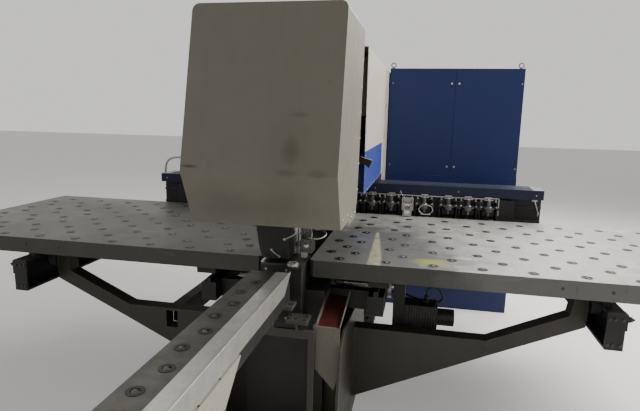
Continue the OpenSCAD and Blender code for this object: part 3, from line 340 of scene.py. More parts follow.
def dark_hanger(n, base):
    """The eye's hanger and its block are grey. The foot below them and the ring stay bright."""
    low = n.between(n.axis(2), T + 0.0382, T + 0.0384)
    inner = n.between(n.axis(0), 0.1360, 0.1358)
    ring = n.math("MULTIPLY", n.between(n.axis(2), T + 0.105, T + 0.1052), n.between(n.axis(1), -0.1105, -0.1110))
    body = n.math("MULTIPLY", low, n.math("MULTIPLY", inner, n.math("SUBTRACT", 1.0, ring)))
    return n.mix(body, base, (0.13, 0.13, 0.125))


def red_floor(n, base):
    """The chute's floor is dark red behind the front plate."""
    up = n.between(n.facing(2), 0.85, 0.95)
    inside = n.between(n.axis(1), -0.3355, -0.330)
    red = n.mix(n.noise(30, 4, low=0.35, high=0.7), (0.11, 0.022, 0.020), (0.045, 0.016, 0.014))
    return n.mix(n.math("MULTIPLY", up, inside), base, red)


RUST = (0.095, 0.055, 0.030)
NAVY = ((0.016, 0.031, 0.135), (0.009, 0.015, 0.058))
mat = {
    # The head's paint is a grey-beige darker than the cream paint, darkened partly as painted shade of the head's
    # front.
    "head": old_paint("painted_shade_head_paint", (0.27, 0.257, 0.21), (0.135, 0.122, 0.092), (
        ((0.135, -0.57, 1.49), (0.045, 0.1, 0.075), (0.14, 0.115, 0.075), 0.75),
        ((0.120, -0.59, 1.405), (0.055, 0.1, 0.022), (0.15, 0.12, 0.08), 0.7),
        ((0.245, -0.59, 1.405), (0.05, 0.1, 0.022), (0.16, 0.13, 0.09), 0.6),
        ((-0.285, -0.588, 1.416), (0.048, 0.1, 0.010), RUST, 0.95),
        ((0.165, -0.54, 1.63), (0.05, 0.1, 0.015), (0.15, 0.135, 0.10), 0.6),
        # The two broad grey marks low on the head's front darken its lower panel: painted shade.
        ((-0.18, -0.54, 1.28), (0.17, 0.12, 0.10), (0.20, 0.172, 0.145), 0.6),
        ((0.02, -0.55, 1.24), (0.32, 0.15, 0.10), (0.16, 0.146, 0.115), 0.5)), dirt=0.6, floor_dirt=0.0),
    "cream": paint("cream_paint", (0.50, 0.485, 0.415), (0.20, 0.175, 0.125)),
    # The low paint is the cream paint darkened to about a sixth: partly dirt, mostly painted shade under the tables.
    "low": paint("painted_shade_low_paint", (0.085, 0.08, 0.065), (0.038, 0.034, 0.026), dirt=0.75, wear=0.7, floor_dirt=0.5),
    # The chute's paint is the cream paint at half brightness: partly painted shade under the die. The red floor is its
    # own colour.
    "chute": paint("painted_shade_chute_paint", (0.25, 0.24, 0.20), (0.085, 0.078, 0.06), dirt=0.8, wear=0.9, extra=red_floor),
    "cream_clean": paint("cream_clean", (0.62, 0.60, 0.50), (0.36, 0.335, 0.26), dirt=0.3, floor_dirt=0.0),
    "blue": paint("blue_paint", (0.042, 0.068, 0.33), (0.02, 0.032, 0.13), dirt=0.3, floor_dirt=0.0),
    "navy": paint("navy_paint", *NAVY, rough=0.36, dirt=0.3, wear=0.3),
    "cabinet": paint("cabinet_paint", *NAVY, rough=0.36, dirt=0.3, wear=0.3, extra=zinc_eyes),
    "beam": paint("beam_paint", (0.016, 0.024, 0.060), (0.009, 0.012, 0.03), rough=0.36, dirt=0.35,
        wear=0.4, extra=ribbed_cover),
    "black": paint("black_paint", (0.022, 0.022, 0.024), (0.05, 0.045, 0.035), rough=0.45, wear=0.6),
    # The C-frame's near-black is partly painted shade in the recess and under the tables.
    "frame": paint("painted_shade_frame_paint", (0.040, 0.040, 0.038), (0.018, 0.017, 0.014), rough=0.5, wear=0.6),
    "grey": paint("grey_paint", (0.10, 0.105, 0.11), (0.04, 0.035, 0.03), rough=0.5),
    "gear": paint("gear_grey", (0.20, 0.20, 0.20), (0.10, 0.10, 0.09), rough=0.55, wear=0.2),
    "bright": steel("bright_steel", (0.62, 0.61, 0.58), (0.33, 0.32, 0.29), rough=0.28),
    "zinc": steel("zinc_plate", (0.55, 0.55, 0.54), (0.34, 0.34, 0.32), rough=0.38, mottle=0.7),
    "dark_steel": steel("burnished_steel", (0.10, 0.10, 0.098), (0.035, 0.033, 0.03), rough=0.36, mottle=0.7),
    "tool": steel("tool_steel", (0.38, 0.38, 0.37), (0.12, 0.115, 0.10), rough=0.24, rust=0.4),
    "stored": steel("stored_tool_steel", (0.20, 0.20, 0.195), (0.05, 0.048, 0.045), rough=0.30, mottle=0.8),
    "eye": steel("eye_steel", (0.60, 0.595, 0.57), (0.33, 0.32, 0.29), rough=0.28, extra=dark_hanger),
    # The strip's steel is darkened as painted shadow beside the bar. The wings' bolts share it.
    "strip": steel("painted_shade_strip_steel", (0.13, 0.127, 0.112), (0.055, 0.053, 0.046), rough=0.42, rust=0.3, mottle=0.8),
    "bar": steel("bar_steel", (0.74, 0.73, 0.69), (0.36, 0.35, 0.32), rough=0.30, stretch=(12, 1, 12), mottle=0.8,
        metallic=0.6, scratch=0.8),
    # The balls and their cups are darkened: painted shade in the ball units' holes.
    "ball": steel("ball_steel", (0.12, 0.118, 0.11), (0.035, 0.033, 0.03), rough=0.20, mottle=0.8),
    "cup": steel("painted_shade_cup_steel", (0.05, 0.048, 0.044), (0.018, 0.017, 0.015), rough=0.40, mottle=0.7, rust=0.3),
    "wing_r": table_steel("table_steel_right", 1),
    "wing_l": table_steel("painted_shade_table_steel_left", -1),
}
plain_rubber = Nodes("hose_rubber")
mat["rubber"] = plain_rubber.finish(plain_rubber.mix(plain_rubber.noise(40, 3), (0.012, 0.012, 0.013),
    (0.035, 0.034, 0.033)), rough=0.6, bump=plain_rubber.noise(300, 2), depth=0.0003)

use = {
    "head": "head_cover",
    "cream": "rear_hood front_pedestal",
    "frame": "c_frame",
    "low": "base_frame outrigger_right outrigger_left cable_trough",
    "chute": "slug_chute",
    "cream_clean": "arm_hood",
    "blue": "blue_panels",
    "navy": "door_left door_right",
    "cabinet": "cabinet_body",
    "beam": "beam_top_cover",
    "black": "head_block cover_bracket guard_housing strip_beam y_guide_beams y_motor wing_carriers "
             "outer_rails cross_rail tool_cassettes die_block guide_beam",
    "grey": "hydraulic_unit press_cylinder roller_right roller_left x_motor",
    "gear": "cabinet_fittings",
    "eye": "guard_loop",
    "bright": "ram y_drive_shaft lock_left_top lock_left_low lock_right_top lock_right_low "
              "y_blocks x_blocks x_pinion clamp_bodies clamp_jaw_left clamp_jaw_right",
    "tool": "punch_holder stripper die_rotor",
    "stored": "stored_punches stored_dies",
    "strip": "centre_strip",
    # The die plate takes dark steel partly as painted shadow below the guard housing.
    "dark_steel": "die_plate",
    "bar": "edge_bar",
    "ball": "strip_balls wing_balls",
    "cup": "strip_ball_cups wing_ball_cups",
    "wing_r": "wing_right",
    "wing_l": "wing_left",
}
for key, names in use.items():
    for name in names.split():
        o = node[name]
        if not o.data.materials:
            o.data.materials.append(None)
        for i in range(len(o.data.materials)):
            o.data.materials[i] = mat[key]


def make(name, bm, key, body="machine", hides=(), sharp=35):
    """A piece from a bmesh: its material, the body it rides on and the nodes it stands for."""
    bmesh.ops.recalc_face_normals(bm, faces=bm.faces)
    mesh = bpy.data.meshes.new(name)
    bm.to_mesh(mesh)
    bm.free()
    mesh.polygons.foreach_set("use_smooth", [True] * len(mesh.polygons))
    mesh.set_sharp_from_angle(angle=math.radians(sharp))
    mesh.materials.append(mat[key])
    o = bpy.data.objects.new(name, mesh)
    bpy.context.scene.collection.objects.link(o)
    even = o.modifiers.new("even_normals", "WEIGHTED_NORMAL")
    even.keep_sharp = True
    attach(o, body)
    if hides:
        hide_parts(*hides)
    return o


def block(bm, low, high, bevel=0.0015, segments=2):
    """A box with rounded edges."""
    part = bmesh.ops.create_cube(bm, size=1)["verts"]
    low, high = Vector(low), Vector(high)
    size = high - low
    for v in part:
        v.co = low + Vector((v.co[i] + 0.5) * size[i] for i in range(3))
    edges = list({e for v in part for e in v.link_edges})
    if bevel:
        bmesh.ops.bevel(bm, geom=edges, offset=min(bevel, 0.45 * min(size)), segments=segments,
            affect="EDGES", profile=0.5, clamp_overlap=True)


def turned(bm, profile, at, axis=(0, 0, 1), steps=24):
    """A turned body: profile points are (radius, height) or (radius, height, 6) for a hexagon."""
    frame_turn = Vector((0, 0, 1)).rotation_difference(Vector(axis)).to_matrix()
    rings = []
    for point in profile:
        r, h = point[0], point[1]
        if r < 1e-6:
            rings.append([bm.verts.new(Vector(at) + frame_turn @ Vector((0, 0, h)))])
            continue
        ring = []
        for k in range(steps):
            a = 2 * math.pi * k / steps
            rr = r
            if len(point) > 2:
                third = math.pi / 3
                rr = r / math.cos((a % third) - third / 2)
            ring.append(bm.verts.new(Vector(at) + frame_turn @ Vector((rr * math.cos(a), rr * math.sin(a), h))))
        rings.append(ring)
    for one, two in zip(rings, rings[1:]):
        if len(one) == 1 and len(two) == 1:
            continue
        for k in range(steps):
            j = (k + 1) % steps
            if len(one) == 1:
                bm.faces.new((one[0], two[k], two[j]))
            elif len(two) == 1:
                bm.faces.new((one[k], one[j], two[0]))
            else:
                bm.faces.new((one[k], one[j], two[j], two[k]))
    if len(rings[0]) > 1 and rings[0] is not rings[-1]:
        bm.faces.new(rings[0])
    if len(rings[-1]) > 1:
        bm.faces.new(rings[-1])


def cap_screw(bm, at, axis, r=0.006, h=None):
    """The head of a socket screw."""
    h = h or r
    turned(bm, [(r, 0), (r, 0.86 * h), (0.88 * r, h), (0.56 * r, h, 6), (0.53 * r, 0.4 * h, 6), (0, 0.4 * h)], at, axis)


def hex_bolt(bm, at, axis, r=0.008, washer=True):
    """A hexagon head, on its washer or without one."""
    base = 0.0
    if washer:
        turned(bm, [(1.45 * r, 0), (1.45 * r, 0.18 * r), (0.6 * r, 0.18 * r)], at, axis)
        base = 0.18 * r
    turned(bm, [(r, base, 6), (r, base + 0.55 * r, 6), (0.86 * r, base + 0.68 * r), (0, base + 0.68 * r)], at, axis)


def pan_screw(bm, at, axis, r=0.006):
    """The round head of a sheet screw, with its recess."""
    turned(bm, [(r, 0), (0.97 * r, 0.15 * r), (0.75 * r, 0.42 * r), (0.4 * r, 0.5 * r),
        (0.38 * r, 0.22 * r), (0, 0.22 * r)], at, axis, 18)


def smooth_path(points, per_leg=6):
    """A smooth curve through all the points."""
    pts = [Vector(p) for p in points]
    pts = [2 * pts[0] - pts[1]] + pts + [2 * pts[-1] - pts[-2]]
    out = []
    for i in range(1, len(pts) - 2):
        a, b, c, d = pts[i - 1:i + 3]
        for k in range(per_leg):
            t = k / per_leg
            out.append(0.5 * ((2 * b) + (c - a) * t + (2 * a - 5 * b + 4 * c - d) * t * t
                + (3 * b - a - 3 * c + d) * t ** 3))
    return out + [pts[-2]]


def tube(bm, points, r, steps=10, smooth=6):
    """A round tube along a path, closed at both ends."""
    path = smooth_path(points, smooth) if smooth else [Vector(p) for p in points]
    normal = None
    rings = []
    for i, p in enumerate(path):
        along = (path[min(i + 1, len(path) - 1)] - path[max(i - 1, 0)]).normalized()
        if normal is None:
            normal = along.orthogonal().normalized()
        normal = (normal - along * normal.dot(along)).normalized()
        other = along.cross(normal)
        rings.append([bm.verts.new(p + r * (math.cos(2 * math.pi * k / steps) * normal
            + math.sin(2 * math.pi * k / steps) * other)) for k in range(steps)])
    for one, two in zip(rings, rings[1:]):
        for k in range(steps):
            j = (k + 1) % steps
            bm.faces.new((one[k], one[j], two[j], two[k]))
    bm.faces.new(rings[0])
    bm.faces.new(rings[-1])


def spring(bm, start, end, r, wire, turns):
    """A coil spring between two points."""
    start, end = Vector(start), Vector(end)
    along = (end - start).normalized()
    one = along.orthogonal().normalized()
    two = along.cross(one)
    steps = int(turns * 10)
    tube(bm, [start + (end - start) * (k / steps) + r * (math.cos(2 * math.pi * k / 10) * one
        + math.sin(2 * math.pi * k / 10) * two) for k in range(steps + 1)], wire, 6, 0)


def soften(name, key, width=0.002, segments=2, angle=30):
    """Redraws a CAD node with rounded edges, and stands for it."""
    source = node[name]
    bm = bmesh.new()
    bm.from_mesh(source.data)
    bmesh.ops.remove_doubles(bm, verts=bm.verts, dist=0.00002)
    bmesh.ops.dissolve_limit(bm, angle_limit=math.radians(0.5), use_dissolve_boundaries=False,
        verts=bm.verts, edges=bm.edges, delimit=set())
    limit = math.radians(angle)
    edges = [e for e in bm.edges if len(e.link_faces) == 2 and e.calc_face_angle(0) > limit]
    bmesh.ops.bevel(bm, geom=edges, offset=width, segments=segments, affect="EDGES", profile=0.5,
        clamp_overlap=True, harden_normals=False)
    bmesh.ops.triangulate(bm, faces=[f for f in bm.faces if len(f.verts) > 4])
    return make(name + "_skin", bm, key, source["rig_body"], (name,))


# ---------------------------------------------------------------- CAD nodes with rounded edges
for key, names, width in (
        ("head", "head_cover", 0.004),
        ("cream", "rear_hood front_pedestal", 0.002),
        ("low", "base_frame outrigger_right outrigger_left cable_trough", 0.002),
        ("chute", "slug_chute", 0.001),
        ("cream_clean", "arm_hood", 0.001),
        ("blue", "blue_panels", 0.0012),
        ("cabinet", "cabinet_body", 0.0015),
        ("navy", "door_left door_right", 0.0015),
        ("beam", "beam_top_cover", 0.0008),
        ("black", "guard_housing cover_bracket die_block head_block y_motor outer_rails wing_carriers "
            "guide_beam", 0.002),
        ("black", "tool_cassettes cross_rail", 0.0012),
        ("bar", "edge_bar", 0.0015),
        ("bright", "clamp_bodies clamp_jaw_left clamp_jaw_right y_blocks x_blocks", 0.0012)):
    for name in names.split():
        soften(name, key, width)

# ---------------------------------------------------------------- head, recess and arm
bm = bmesh.new()
for side in (-1, 1):
    for k in range(7):
        z = 1.27 + k * 0.125
        pan_screw(bm, (side * HOOD_X, 0.015 + (z - 1.22) * 0.122 - 0.022, z), (side, 0, 0), 0.007)
    for k in range(4):
        pan_screw(bm, (side * HOOD_X, -0.42 + k * 0.12, 1.195 if k < 2 else 1.165), (side, 0, 0), 0.006)
make("head_cover_screws", bm, "zinc")

# Black sheets on the C-frame's sides in the recess behind the head: painted shade, put where the recess lies in shadow.
bm = bmesh.new()
for side in (-1, 1):
    low, high = sorted((side * 0.2004, side * 0.2034))
    block(bm, (low, 0.1315, 1.225), (high, 0.296, 1.965), 0.0008)
    low, high = sorted((side * 0.2036, side * 0.2056))
    block(bm, (low, 0.150, 1.27), (high, 0.158, 1.93), 0.0005)
make("painted_shade_recess_sheets", bm, "black")

bm = bmesh.new()
for side in (-1, 1):
    for k in range(5):
        z = 1.42 + 0.1 * k
        r = 0.008 + 0.002 * (k % 3)
        turned(bm, [(1.7 * r, 0, 6), (1.7 * r, 0.016, 6), (1.2 * r, 0.02), (0, 0.02)],
            (side * 0.1495, 0.085, z), (side, 0, 0), 18)
        tube(bm, [(side * 0.165, 0.085, z), (side * 0.20, 0.095, z + 0.002), (side * 0.232, 0.14, z + 0.01),
            (side * 0.242, 0.21, z + 0.015), (side * 0.246, 0.31, z + 0.015),
            (side * 0.246, 0.42, z + 0.015)], r, 10, 6)
make("head_pipes", bm, "black")

bm = bmesh.new()
for side in (-1, 1):
    for k in range(10):
        pan_screw(bm, (side * HOOD_X, 0.34 + k * 0.115, 1.208), (side, 0, 0), 0.0055)
    for k in range(7):
        pan_screw(bm, (side * HOOD_X, 0.312, 1.30 + k * 0.11), (side, 0, 0), 0.0055)
    for k in range(9):
        pan_screw(bm, (side * HOOD_X, 1.488, 1.25 + k * 0.09), (side, 0, 0), 0.0055)
make("arm_cover_screws", bm, "cream_clean")

# rear hood: door sheets, quarter locks, grips on the left side, gauge, couplings
LOCK = [(0.013, 0), (0.013, 0.003), (0.009, 0.005), (0.009, 0.0035), (0, 0.0035)]
bm = bmesh.new()
for side in (-1, 1):
    low, high = sorted((side * 0.3252, side * 0.3275))
    block(bm, (low, 1.60, 0.16), (high, 2.26, 0.95), 0.001)
    block(bm, (low, 1.60, 1.00), (high, 2.26, 1.86), 0.001)
block(bm, (-0.27, HOOD_BACK, 0.16), (0.27, 2.3525, 1.20), 0.001)
make("rear_hood_doors", bm, "cream")
bm = bmesh.new()
for side in (-1, 1):
    for y, z in ((1.64, 0.30), (1.64, 0.80), (1.64, 1.14), (1.64, 1.72)):
        turned(bm, LOCK, (side * 0.3273, y, z), (side, 0, 0), 20)
    for y in (1.56, 2.31):
        for k in range(8):
            pan_screw(bm, (side * HOOD_X, y, 0.2 + k * 0.24), (side, 0, 0), 0.006)
    if side < 0:  # on the right the cabinet's left door opens flat against the hood
        for z in (0.55, 1.43):
            tube(bm, [(-0.327, 1.70, z), (-0.352, 1.703, z), (-0.356, 1.76, z), (-0.352, 1.817, z),
                (-0.327, 1.82, z)], 0.005, 10, 5)
for x in (-0.25, 0.25):
    for z in (0.22, 0.68, 1.14):
        turned(bm, LOCK, (x, 2.3522, z), (0, 1, 0), 20)
make("rear_hood_locks", bm, "zinc")
bm = bmesh.new()
turned(bm, [(0.040, 0), (0.040, 0.018), (0.036, 0.022), (0.033, 0.018), (0, 0.018)], (-0.12, 2.3498, 1.78),
    (0, 1, 0), 32)
for x in (0.08, 0.14, 0.20):
    turned(bm, [(0.019, 0, 6), (0.019, 0.01, 6), (0.015, 0.012), (0.015, 0.02), (0.008, 0.024), (0, 0.024)],
        (x, 2.3498, 1.78), (0, 1, 0), 18)
make("rear_hood_gauge", bm, "black")
bm = bmesh.new()
turned(bm, [(0.0325, 0), (0.0325, 0.001), (0, 0.001)], (-0.12, 2.3679, 1.78), (0, 1, 0), 32)
make("gauge_dial", bm, "bar")

# ---------------------------------------------------------------- tool area
bm = bmesh.new()
tube(bm, [(-0.052, -0.2035, T + 0.053), (-0.035, -0.206, T + 0.040), (-0.017, -0.2035, T + 0.026)], 0.0036, 10, 4)
for x, z in ((-0.054, T + 0.055), (-0.015, T + 0.024)):
    turned(bm, [(0.006, 0), (0.006, 0.004), (0.004, 0.006), (0, 0.006)], (x, -0.1995, z), (0, -1, 0), 14)
tube(bm, [(0.010, -0.2035, T + 0.111), (0.036, -0.206, T + 0.124), (0.060, -0.206, T + 0.139),
    (0.066, -0.204, T + 0.150), (0.062, -0.202, T + 0.175), (0.060, -0.198, T + 0.230), (0.060, -0.196, T + 0.309)],
    0.0032, 8, 5)
turned(bm, [(0.007, 0), (0.007, 0.004), (0.004, 0.006), (0, 0.006)], (0.010, -0.1995, T + 0.111), (0, -1, 0), 14)
tube(bm, [(-0.094, -0.232, T + 0.001), (-0.086, -0.234, T + 0.011), (-0.072, -0.234, T + 0.022)], 0.0042, 10, 4)
turned(bm, [(0.008, 0), (0.008, 0.004), (0.006, 0.007), (0, 0.007)], (-0.088, -0.228, T - 0.0005), (0, 0, 1), 16)
tube(bm, [(-0.088, -0.228, T + 0.004), (-0.080, -0.232, T + 0.016)], 0.0028, 8, 0)
for k in range(3):
    a = 0.6 + 2.094 * k
    cap_screw(bm, (KNOB[0] + 0.0165 * math.cos(a), KNOB[1] + 0.0165 * math.sin(a), T + 0.0138), (0, 0, 1),
        0.0035, 0.003)
for x in (-0.075, 0.075):
    for y in (-0.190, -0.100):
        cap_screw(bm, (x, y, T - 0.0062), (0, 0, 1), 0.0042, 0.005)
for x, z in ((-0.07, 0.90), (0.03, 0.90), (-0.07, 0.66), (0.03, 0.66)):
    cap_screw(bm, (x, -0.2358, z), (0, -1, 0), 0.006)
make("tool_area_fittings", bm, "zinc")
bm = bmesh.new()
turned(bm, [(0.0075, 0.001), (0.0264, 0.001), (0.0264, 0.0125), (0.0245, 0.0145), (0.0150, 0.0145), (0.0140, 0.0132),
    (0.0095, 0.0132), (0.0075, 0.0142), (0.0075, 0.001)], (*KNOB, T), (0, 0, 1), 40)
bmesh.ops.remove_doubles(bm, verts=bm.verts, dist=1e-6)
make("plate_knob", bm, "bar")
bm = bmesh.new()
for x, z in ((-0.125, T + 0.285), (0.018, T + 0.285), (-0.088, T + 0.028), (0.018, T + 0.028)):
    cap_screw(bm, (x, -0.1998, z), (0, -1, 0), 0.005)
block(bm, (-0.108, -0.2022, T + 0.060), (0.012, -0.1998, T + 0.255), 0.001)
for x, z in ((0.086, T + 0.05), (0.126, T + 0.05), (0.086, T + 0.094), (0.126, T + 0.094)):
    cap_screw(bm, (x, -0.1498, z), (0, -1, 0), 0.004)
make("guard_screws", bm, "black")
bm = bmesh.new()
turned(bm, [(0.013, 0), (0.013, 0.006), (0.010, 0.009), (0.010, 0.016), (0.006, 0.018), (0, 0.018)],
    (0.106, -0.1498, T + 0.074), (0, -1, 0), 22)
tube(bm, [(0.128, -0.14, T + 0.102), (0.130, -0.14, T + 0.130), (0.122, -0.125, T + 0.150), (0.112, -0.105, T + 0.160)],
    0.004, 8, 5)
make("nozzle_bits", bm, "zinc")

# ---------------------------------------------------------------- tool magazine
bm, dark, coil = bmesh.new(), bmesh.new(), bmesh.new()
for x in [s * x for s in (-1, 1) for x in STATIONS]:
    block(bm, (x - 0.030, 1.205, T + 0.1322), (x + 0.030, 1.225, T + 0.1362), 0.001)
    block(bm, (x - 0.024, 1.258, T + 0.1345), (x + 0.024, 1.264, T + 0.1475), 0.001)
    cap_screw(bm, (x, 1.215, T + 0.136), (0, 0, 1), 0.005, 0.005)
    for s in (-1, 1):
        block(bm, (x + s * 0.052 - 0.006, 1.180, T + 0.0842), (x + s * 0.052 + 0.006, 1.236, T + 0.0885), 0.0008)
        cap_screw(bm, (x + s * 0.052, 1.188, T + 0.088), (0, 0, 1), 0.004, 0.004)
        spring(coil, (x + s * 0.050, 1.240, T + 0.1125), (x + s * 0.050, 1.240, T + 0.130), 0.006, 0.0012, 4)
        cap_screw(bm, (x + s * 0.050, 1.240, T + 0.129), (0, 0, 1), 0.008, 0.004)
    block(dark, (x - 0.040, 1.2228, T + 0.020), (x + 0.040, 1.2252, T + 0.060), 0.0008)
    for s in (-1, 1):
        cap_screw(dark, (x + s * 0.058, 1.1652, T + 0.077), (0, -1, 0), 0.004)
        cap_screw(dark, (x + s * 0.058, 1.1652, T - 0.027), (0, -1, 0), 0.004)
for s in (-1, 1):
    for one, two in zip(STATIONS, STATIONS[1:]):
        low, high = sorted((s * (one + 0.023), s * (two - 0.023)))
        block(bm, (low, 1.2585, T + 0.1315), (high, 1.2625, T + 0.1385), 0.0008)
    low, high = sorted((s * 1.131, s * 1.182))
    block(bm, (low, 1.2585, T + 0.136), (high, 1.2625, T + 0.143), 0.0008)
    low, high = sorted((s * 1.178, s * 1.184))
    block(bm, (low, 1.245, T + 0.020), (high, 1.2755, T + 0.142), 0.0008)
    # clamp: cover plate, curved lever, air line
    x = s * CLAMP_X
    block(bm, (x - 0.038, 1.205, T + 0.1185), (x + 0.038, 1.275, T + 0.1225), 0.001)
    block(bm, (x - 0.0425, 1.205, T + 0.030), (x - 0.0325, 1.262, T + 0.119), 0.002)
    block(bm, (x + 0.0325, 1.205, T + 0.030), (x + 0.0425, 1.262, T + 0.119), 0.002)
    for y in (1.225, 1.255):
        for d in (-0.028, 0.028):
            cap_screw(bm, (x + d, y, T + 0.122), (0, 0, 1), 0.004, 0.004)
    tube(bm, [(x - 0.045, 1.262, T + 0.128), (x - 0.050, 1.245, T + 0.150), (x - 0.056, 1.250, T + 0.164),
        (x - 0.060, 1.262, T + 0.150), (x - 0.060, 1.2755, T + 0.135)], 0.0035, 8, 5)
ring = [(0.676 + 0.048 * math.cos(a), 1.160, T + 0.052 + 0.034 * math.sin(a))
        for a in (2 * math.pi * k / 28 for k in range(29))]
tube(bm, ring, 0.0026, 8, 0)
for k in range(0, 28, 2):
    turned(bm, [(0.0042, 0), (0.0042, 0.004), (0, 0.005)], (ring[k][0], 1.158, ring[k][2]), (0, -1, 0), 10)
block(bm, (0.640, 1.1575, T + 0.014), (0.712, 1.1655, T + 0.021), 0.001)
make("magazine_latches", bm, "bright", "x_carriage")
make("magazine_plates", dark, "black", "x_carriage")
make("magazine_springs", coil, "zinc", "x_carriage")

# ---------------------------------------------------------------- coordinate guide and wings
bm = bmesh.new()
for side in (-1, 1):
    for x in (0.46, 1.284, 1.492, 2.20):
        hex_bolt(bm, (side * x, -0.1402, WING_BOLTS), (0, -1, 0), 0.0055)
        hex_bolt(bm, (side * x, 1.1552, WING_BOLTS), (0, 1, 0), 0.0065)
    for y in (-0.02, 0.30, 0.62, 0.94):
        hex_bolt(bm, (side * 2.2502, y, WING_BOLTS), (side, 0, 0), 0.0065)
make("wing_bolts", bm, "strip", "y_carriage")
bm = bmesh.new()
for x in (-1.4302, 1.4802):
    side = -1 if x < 0 else 1
    for y in (1.36, 1.455):
        for z in (0.875, 1.10):
            hex_bolt(bm, (x, y, z), (side, 0, 0), 0.008)
for x in (-1.405, 1.455):
    turned(bm, [(0.016, 0), (0.016, 0.002), (0.010, 0.002), (0.010, 0.0005), (0, 0.0005)], (x, 1.44, 1.1422),
        (0, 0, 1), 24)
for x in (-1.38, -0.9, -0.3, 0.3, 0.9, 1.43):
    pan_screw(bm, (x, 1.2618, 1.105), (0, -1, 0), 0.005)
block(bm, (1.414, 1.316, T + 0.124), (1.452, 1.3302, T + 0.140), 0.002)
tube(bm, [(1.433, 1.318, T + 0.128), (1.440, 1.311, T + 0.105), (1.452, 1.310, T + 0.07), (1.462, 1.315, T + 0.04),
    (1.463, 1.331, T + 0.02)], 0.004, 8, 5)
tube(bm, [(-1.4305, 1.43, 1.02), (-1.475, 1.43, 1.06), (-1.482, 1.43, 1.16), (-1.45, 1.43, 1.235),
    (-1.36, 1.43, 1.262), (-1.25, 1.43, 1.255), (-1.20, 1.43, 1.20), (-1.195, 1.43, 1.1425)], 0.010, 10, 6)
for at, axis in (((-1.4302, 1.43, 1.02), (-1, 0, 0)), ((-1.195, 1.43, 1.1420), (0, 0, 1))):
    turned(bm, [(0.019, 0, 6), (0.019, 0.012, 6), (0.014, 0.016), (0.011, 0.03), (0, 0.03)], at, axis, 18)
make("guide_fittings", bm, "zinc", "y_carriage")
bm = bmesh.new()
for side in (-1, 1):
    for y in (-0.14, 0.02, 0.55, 1.12, 1.40):
        hex_bolt(bm, (side * 1.5442, y, T - 0.22), (side, 0, 0), 0.009)
    for x in (1.478, 1.500, 1.532):
        hex_bolt(bm, (side * x, -0.1752, T - 0.27), (0, -1, 0), 0.006)
        hex_bolt(bm, (side * x, -0.1752, T - 0.15), (0, -1, 0), 0.006)
    turned(bm, [(0.011, 0, 6), (0.011, 0.008, 6), (0.009, 0.010), (0.006, 0.010), (0.006, 0.018), (0, 0.018)],
        (side * 1.566, -0.150, T - 0.154), (side, 0, 0), 18)
make("outer_rail_bolts", bm, "dark_steel", "y_carriage")

# ---------------------------------------------------------------- base, outriggers, strip, drive
bm = bmesh.new()
for side in (-1, 1):
    for y in (-0.335, -0.25, 0.0, 0.30):
        hex_bolt(bm, (side * 0.255, y, FLOOR_PLATE), (0, 0, 1), 0.012)
    for y in (0.70, 1.05, 1.38):
        hex_bolt(bm, (side * 0.270, y, FLOOR_PLATE), (0, 0, 1), 0.012)
for x, y in ((0.075, -0.345), (0.075, -0.30), (0.150, -0.345), (0.150, -0.30)):
    cap_screw(bm, (x, y, T - 0.2262), (0, 0, 1), 0.006)
for x in (0.072, 0.086):
    cap_screw(bm, (x, -0.325, T - 0.1642), (0, 0, 1), 0.005)
for x in (-0.082, 0.072):
    for y in (-1.60, -1.45, -1.30, -1.15):
        hex_bolt(bm, (x, y, 0.8348), (0, 0, 1), 0.0045, False)
for y in (-1.58, -1.20):
    for side, x in ((-1, -0.0902), (1, 0.0802)):
        hex_bolt(bm, (x, y, 0.06), (side, 0, 0), 0.008)
make("base_bolts", bm, "dark_steel")

bm = bmesh.new()
for side in (-1, 1):
    tube(bm, [(side * 1.005, 0.0705, 0.436 + k * 0.0078 + 0.0006 * (k % 2)) for k in range(11)], 0.003, 6, 0)
    tube(bm, [(side * 0.3265, 0.0705, 0.125 + k * 0.0097 + 0.0008 * (k % 2)) for k in range(41)], 0.0045, 6, 0)
    low, high = sorted((side * 1.452, side * 1.4625))
    block(bm, (low, 0.060, T - 0.262), (high, 0.165, T - 0.128), 0.002)
make("outrigger_welds", bm, "low")

bm = bmesh.new()
for k in range(11):
    x = 0.600 + k * 0.0145
    block(bm, (x, 0.1625, 0.506), (x + 0.003, 0.302, 0.634), 0.0006)
for k in range(3):
    turned(bm, [(0.0475, 0), (0.0475, 0.003), (0.0455, 0.003)], (0.775 + 0.022 * k, 0.230, 0.556), (1, 0, 0), 32)
turned(bm, [(0.017, 0, 6), (0.017, 0.012, 6), (0.013, 0.016), (0.013, 0.034), (0.008, 0.040), (0, 0.040)],
    (0.700, 0.2325, 0.633), (0, 0, 1), 24)
make("motor_fins", bm, "black")
path = smooth_path([(0.700, 0.2325, 0.672), (0.704, 0.234, 0.700), (0.722, 0.238, 0.718), (0.752, 0.244, 0.712),
    (0.778, 0.254, 0.684), (0.788, 0.270, 0.650), (0.770, 0.296, 0.618), (0.716, 0.330, 0.602), (0.640, 0.352, 0.606),
    (0.560, 0.362, 0.634), (0.505, 0.366, 0.676), (0.4855, 0.367, 0.690)], 6)
bm = bmesh.new()
tube(bm, path, 0.0055, 10, 0)
motor_cable = make("motor_cable", bm, "rubber")
bm = bmesh.new()
turned(bm, [(0.012, 0, 6), (0.012, 0.010, 6), (0.009, 0.014), (0, 0.014)], (0.4848, 0.367, 0.6905), (1, 0, 0), 18)
make("cable_gland", bm, "zinc")

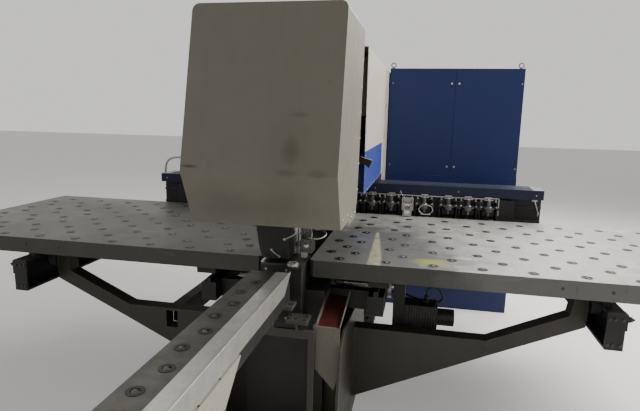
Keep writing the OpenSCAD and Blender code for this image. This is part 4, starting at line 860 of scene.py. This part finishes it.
# ---------------------------------------------------------------- cabinet
for name, x in (("door_left", 0.359), ("door_right", 1.370)):
    bm = bmesh.new()
    for z in (1.904, 1.231):
        pan_screw(bm, (x, 1.8552, z), (0, -1, 0), 0.006)
    make(name + "_screws", bm, "zinc", name)
bm = bmesh.new()
for z in (1.70, 0.45):
    block(bm, (CABINET_SIDE, 2.00, z - 0.13), (1.398, 2.26, z + 0.13), 0.004)
    for k in range(13):
        block(bm, (1.3975, 2.015, z - 0.112 + k * 0.018), (1.4015, 2.245, z - 0.104 + k * 0.018), 0.0008)
block(bm, (0.42, 2.3548, 0.14), (1.30, 2.357, 1.95), 0.001)
make("cabinet_vents", bm, "navy")
bm = bmesh.new()
for x in (0.44, 1.28):
    for z in (0.17, 0.75, 1.34, 1.92):
        pan_screw(bm, (x, 2.3568, z), (0, 1, 0), 0.006)
for k in range(5):
    turned(bm, [(0.018, 0, 6), (0.018, 0.010, 6), (0.014, 0.013), (0.014, 0.022), (0.008, 0.026), (0, 0.026)],
        (CABINET_SIDE, 1.96 + k * 0.06, 0.20), (1, 0, 0), 18)
make("cabinet_rear_screws", bm, "zinc")

# ---------------------------------------------------------------- stage and light
FLOOR_GLOW = 0.26  # strength of the floor's own light, for what sees it
LIGHT_GIVEN, LIGHT_SEEN = 0.22, 0.86  # the world's strength for the object, and for what sees it


def stage_plane(name, size, place, color):
    """A plane that glows for what sees it, and gives the object none of that light."""
    bpy.ops.mesh.primitive_plane_add(size=size, location=place)
    o = bpy.context.object
    o.name = name
    n = Nodes(name)
    o.data.materials.append(n.finish(color, rough=0.8))
    n.put(n.shader.inputs["Emission Color"], STUDIO_WHITE)
    n.put(n.shader.inputs["Emission Strength"], n.between(seen_ray(n.tree), 0.0, 1.0, 0.0, FLOOR_GLOW))


stage_plane("floor", 60, (0, 0, 0), (0.86, 0.85, 0.83))

world = bpy.data.worlds.new("studio")
bpy.context.scene.world = world
world.use_nodes = True
strength = world.node_tree.nodes.new("ShaderNodeMapRange")
strength.inputs["To Min"].default_value = LIGHT_GIVEN
strength.inputs["To Max"].default_value = LIGHT_SEEN
world.node_tree.links.new(seen_ray(world.node_tree), strength.inputs["Value"])
back = world.node_tree.nodes["Background"]
back.inputs["Color"].default_value = STUDIO_WHITE
world.node_tree.links.new(strength.outputs["Result"], back.inputs["Strength"])


def area(name, place, target, size, power, color=(1, 1, 1)):
    """A soft rectangular lamp that faces a point."""
    lamp = bpy.data.lights.new(name, "AREA")
    lamp.shape = "RECTANGLE"
    lamp.size, lamp.size_y = size
    lamp.energy = power
    lamp.color = color
    o = bpy.data.objects.new(name, lamp)
    bpy.context.scene.collection.objects.link(o)
    o.location = place
    o.rotation_euler = (Vector(target) - Vector(place)).to_track_quat("-Z", "Y").to_euler()


area("key", (5.0, 1.6, 4.4), (0.3, 0.4, 0.9), (3.0, 3.0), 420, (1.0, 0.975, 0.93))
area("top_back", (1.5, 5.0, 4.6), (0.4, 1.0, 1.0), (4.5, 2.5), 200)
area("fill", (-2.5, -5.0, 3.4), (0, 0, 1.0), (4.0, 3.0), 18)
